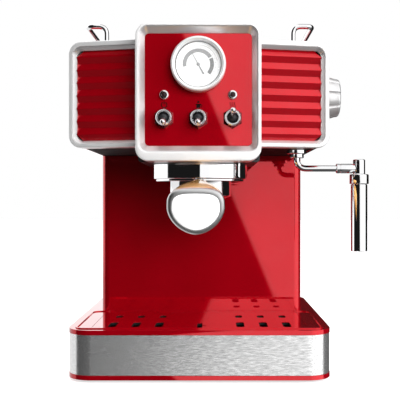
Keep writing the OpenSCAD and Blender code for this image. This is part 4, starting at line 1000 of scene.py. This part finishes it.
def rails():
    """Two chrome cup rails, bent up from the top, outwards and back."""
    low, high = box("cup_rails")
    r = 2.5
    inner, foot = 91.0, low.z
    outer, top = high.x - r, high.z - r
    front, back = low.y + r, high.y - r
    line = rounded([(inner, front, foot), (inner, front, top), (outer, front, top), (outer, back, top),
                    (inner, back, top), (inner, back, foot)], 8.0, 12)
    washer = lathe([(r, 0), (4.6, 0), (4.6, 0.5), (4.0, 0.9), (r, 0.9), (r, 0)], 48)
    deck = box("top_deck")[1].z
    shapes = []
    for side in (-1, 1):
        shapes.append(sweep([(side * p.x, p.y, p.z) for p in line], r, 40))
        shapes += [moved(washer, at(side * inner, y, deck)) for y in (front, back)]
    piece("cup_rails", join_shapes(*shapes), "machine", "chrome", ("cup_rails",), crease=40)
    carry("rail_nuts", "plain", 0.3)


def steam_side():
    knob()
    wand()
    rails()


# ---------------------------------------------------------------- inside, tray and tank

def inside():
    finishes = {"boiler": "alloy", "thermostats": "black", "control_board": "board", "pump": "coil",
                "pump_mounts": "rubber", "water_hoses": "hose", "tank_socket": "black",
                "steam_valve": "brass", "steam_pipes": "plain", "tank_valve": "black",
                "tray_float": "black"}
    for node, finish in finishes.items():
        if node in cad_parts:
            carry(node, finish, 0.3)


def wet_side():
    # below a level the tray and grid are painted shade, so the slots and basin read dark
    carry("drip_tray", "red_tray_painted_shade", 0.5)
    carry("drip_grid", "red_grid_painted_shade", 0.4)
    carry("water_tank", "tank", 0.6)
    carry("tank_lid", "black", 0.8)


# ---------------------------------------------------------------- studio

def studio_world():
    """White from the right front and the left rear, a cloth above and behind, dark elsewhere."""
    world = bpy.data.worlds.new("studio")
    bpy.context.scene.world = world
    world.use_nodes = True
    n = Nodes(world.node_tree)
    where = n.add("TexCoord").outputs["Generated"]
    x, y, z = n.add("SeparateXYZ", Vector=where).outputs
    ahead = n.math("MULTIPLY", y, -1.0)
    front = n.math("MAXIMUM", ahead, 0.02)
    # white card on the right front, its near edge leaning
    rise = n.math("DIVIDE", z, front)
    lean = n.math("ADD", n.math("DIVIDE", x, front), n.math("MULTIPLY", rise, 0.41))
    lean = n.math("SUBTRACT", lean, n.smooth(rise, 0.01, 0.06, 0.023, 0.045))
    lean = n.math("ADD", lean, n.smooth(rise, -0.18, -0.14, 0.165, 0.0))
    key = n.math("MULTIPLY", n.smooth(lean, -0.003, 0.003), n.smooth(ahead, -0.01, 0.02))
    key = n.math("MULTIPLY", key, n.smooth(z, -0.40, -0.25))
    # what the floor sends back
    under = n.smooth(z, -0.42, -0.58)
    # white on the left, from beside the machine to behind it
    rear = n.math("MULTIPLY", n.smooth(n.math("MULTIPLY", x, -1.0), 0.02, 0.06), n.smooth(y, -0.14, -0.08))
    rear = n.math("MULTIPLY", rear, n.smooth(z, -0.11, -0.05, 0.90, 1.3))
    # cloth above and behind
    top = n.math("MULTIPLY", n.smooth(z, 0.55, 0.70), n.smooth(y, -0.30, -0.05))
    level = n.math("MAXIMUM", n.math("MULTIPLY", key, n.smooth(x, 0.35, 0.6, 1.1, 1.4)), rear)
    level = n.math("MAXIMUM", level, n.math("MULTIPLY", top, 0.45))
    level = n.math("MAXIMUM", level, n.math("MULTIPLY", under, n.smooth(x, 0.05, 0.3, 0.06, 0.15)))
    level = n.math("MAXIMUM", level, 0.010)
    seen = n.add("LightPath").outputs["Is Camera Ray"]
    level = n.math("ADD", n.math("MULTIPLY", level, n.math("SUBTRACT", 1.0, seen)), seen)
    back = n.add("Background", Strength=level)
    back.inputs["Color"].default_value = colour(1, 1, 1)
    n.put(n.add("OutputWorld").inputs["Surface"], back.outputs[0])


def soft_panel(name, where, target, width, height, power):
    """Large soft light, left out of reflections."""
    data = bpy.data.lights.new(name, "AREA")
    data.shape = "RECTANGLE"
    data.size, data.size_y = width, height
    data.energy = power
    obj = bpy.data.objects.new(name, data)
    obj.location = where
    obj.rotation_euler = (Vector(where) - Vector(target)).to_track_quat("Z", "Y").to_euler()
    obj.visible_glossy = False
    bpy.context.scene.collection.objects.link(obj)


def floor():
    """Plain pale floor with even light of its own, left out of reflections and bounced light."""
    size = 6.0
    mesh = bpy.data.meshes.new("floor")
    corners = [(-size, -size, 0), (size, -size, 0), (size, size, 0), (-size, size, 0)]
    mesh.from_pydata(corners, [], [(0, 1, 2, 3)])
    mat, n, s = material("floor")
    n.put(s["Base Color"], n.mix(n.noise(3.0), colour(0.78, 0.78, 0.78), colour(0.82, 0.82, 0.82)))
    n.put(s["Roughness"], 0.6)
    n.put(s["Specular IOR Level"], 0.2)
    s["Emission Color"].default_value = colour(1, 1, 1)
    n.put(s["Emission Strength"], 0.62)
    mesh.materials.append(mat)
    obj = bpy.data.objects.new("floor", mesh)
    bpy.context.scene.collection.objects.link(obj)
    obj.visible_glossy = False
    obj.visible_diffuse = False


def camera():
    """Level view from the front, on the machine's right half, at 756 mm from the base."""
    front = box("base_housing")[0].y
    data = bpy.data.cameras.new("camera")
    data.sensor_width = 36.0
    data.lens = 72.4
    data.shift_x = -0.0385
    data.clip_start = 0.05
    obj = bpy.data.objects.new("camera", data)
    obj.location = (0.0154, front * MM - 0.756, 0.1727)
    obj.rotation_euler = (radians(90), 0, 0)
    bpy.context.scene.collection.objects.link(obj)
    bpy.context.scene.camera = obj


casing()
controls()
group()
steam_side()
inside()
wet_side()
studio_world()
soft_panel("front_light", (1.0, -2.45, 1.0), (0, 0, 0.2), 2.2, 1.4, 86.0)
soft_panel("side_light", (2.2, -0.9, 0.35), (0.1, -0.15, 0.27), 1.2, 1.2, 40.0)
floor()
camera()
bpy.context.scene.view_settings.view_transform = "Standard"
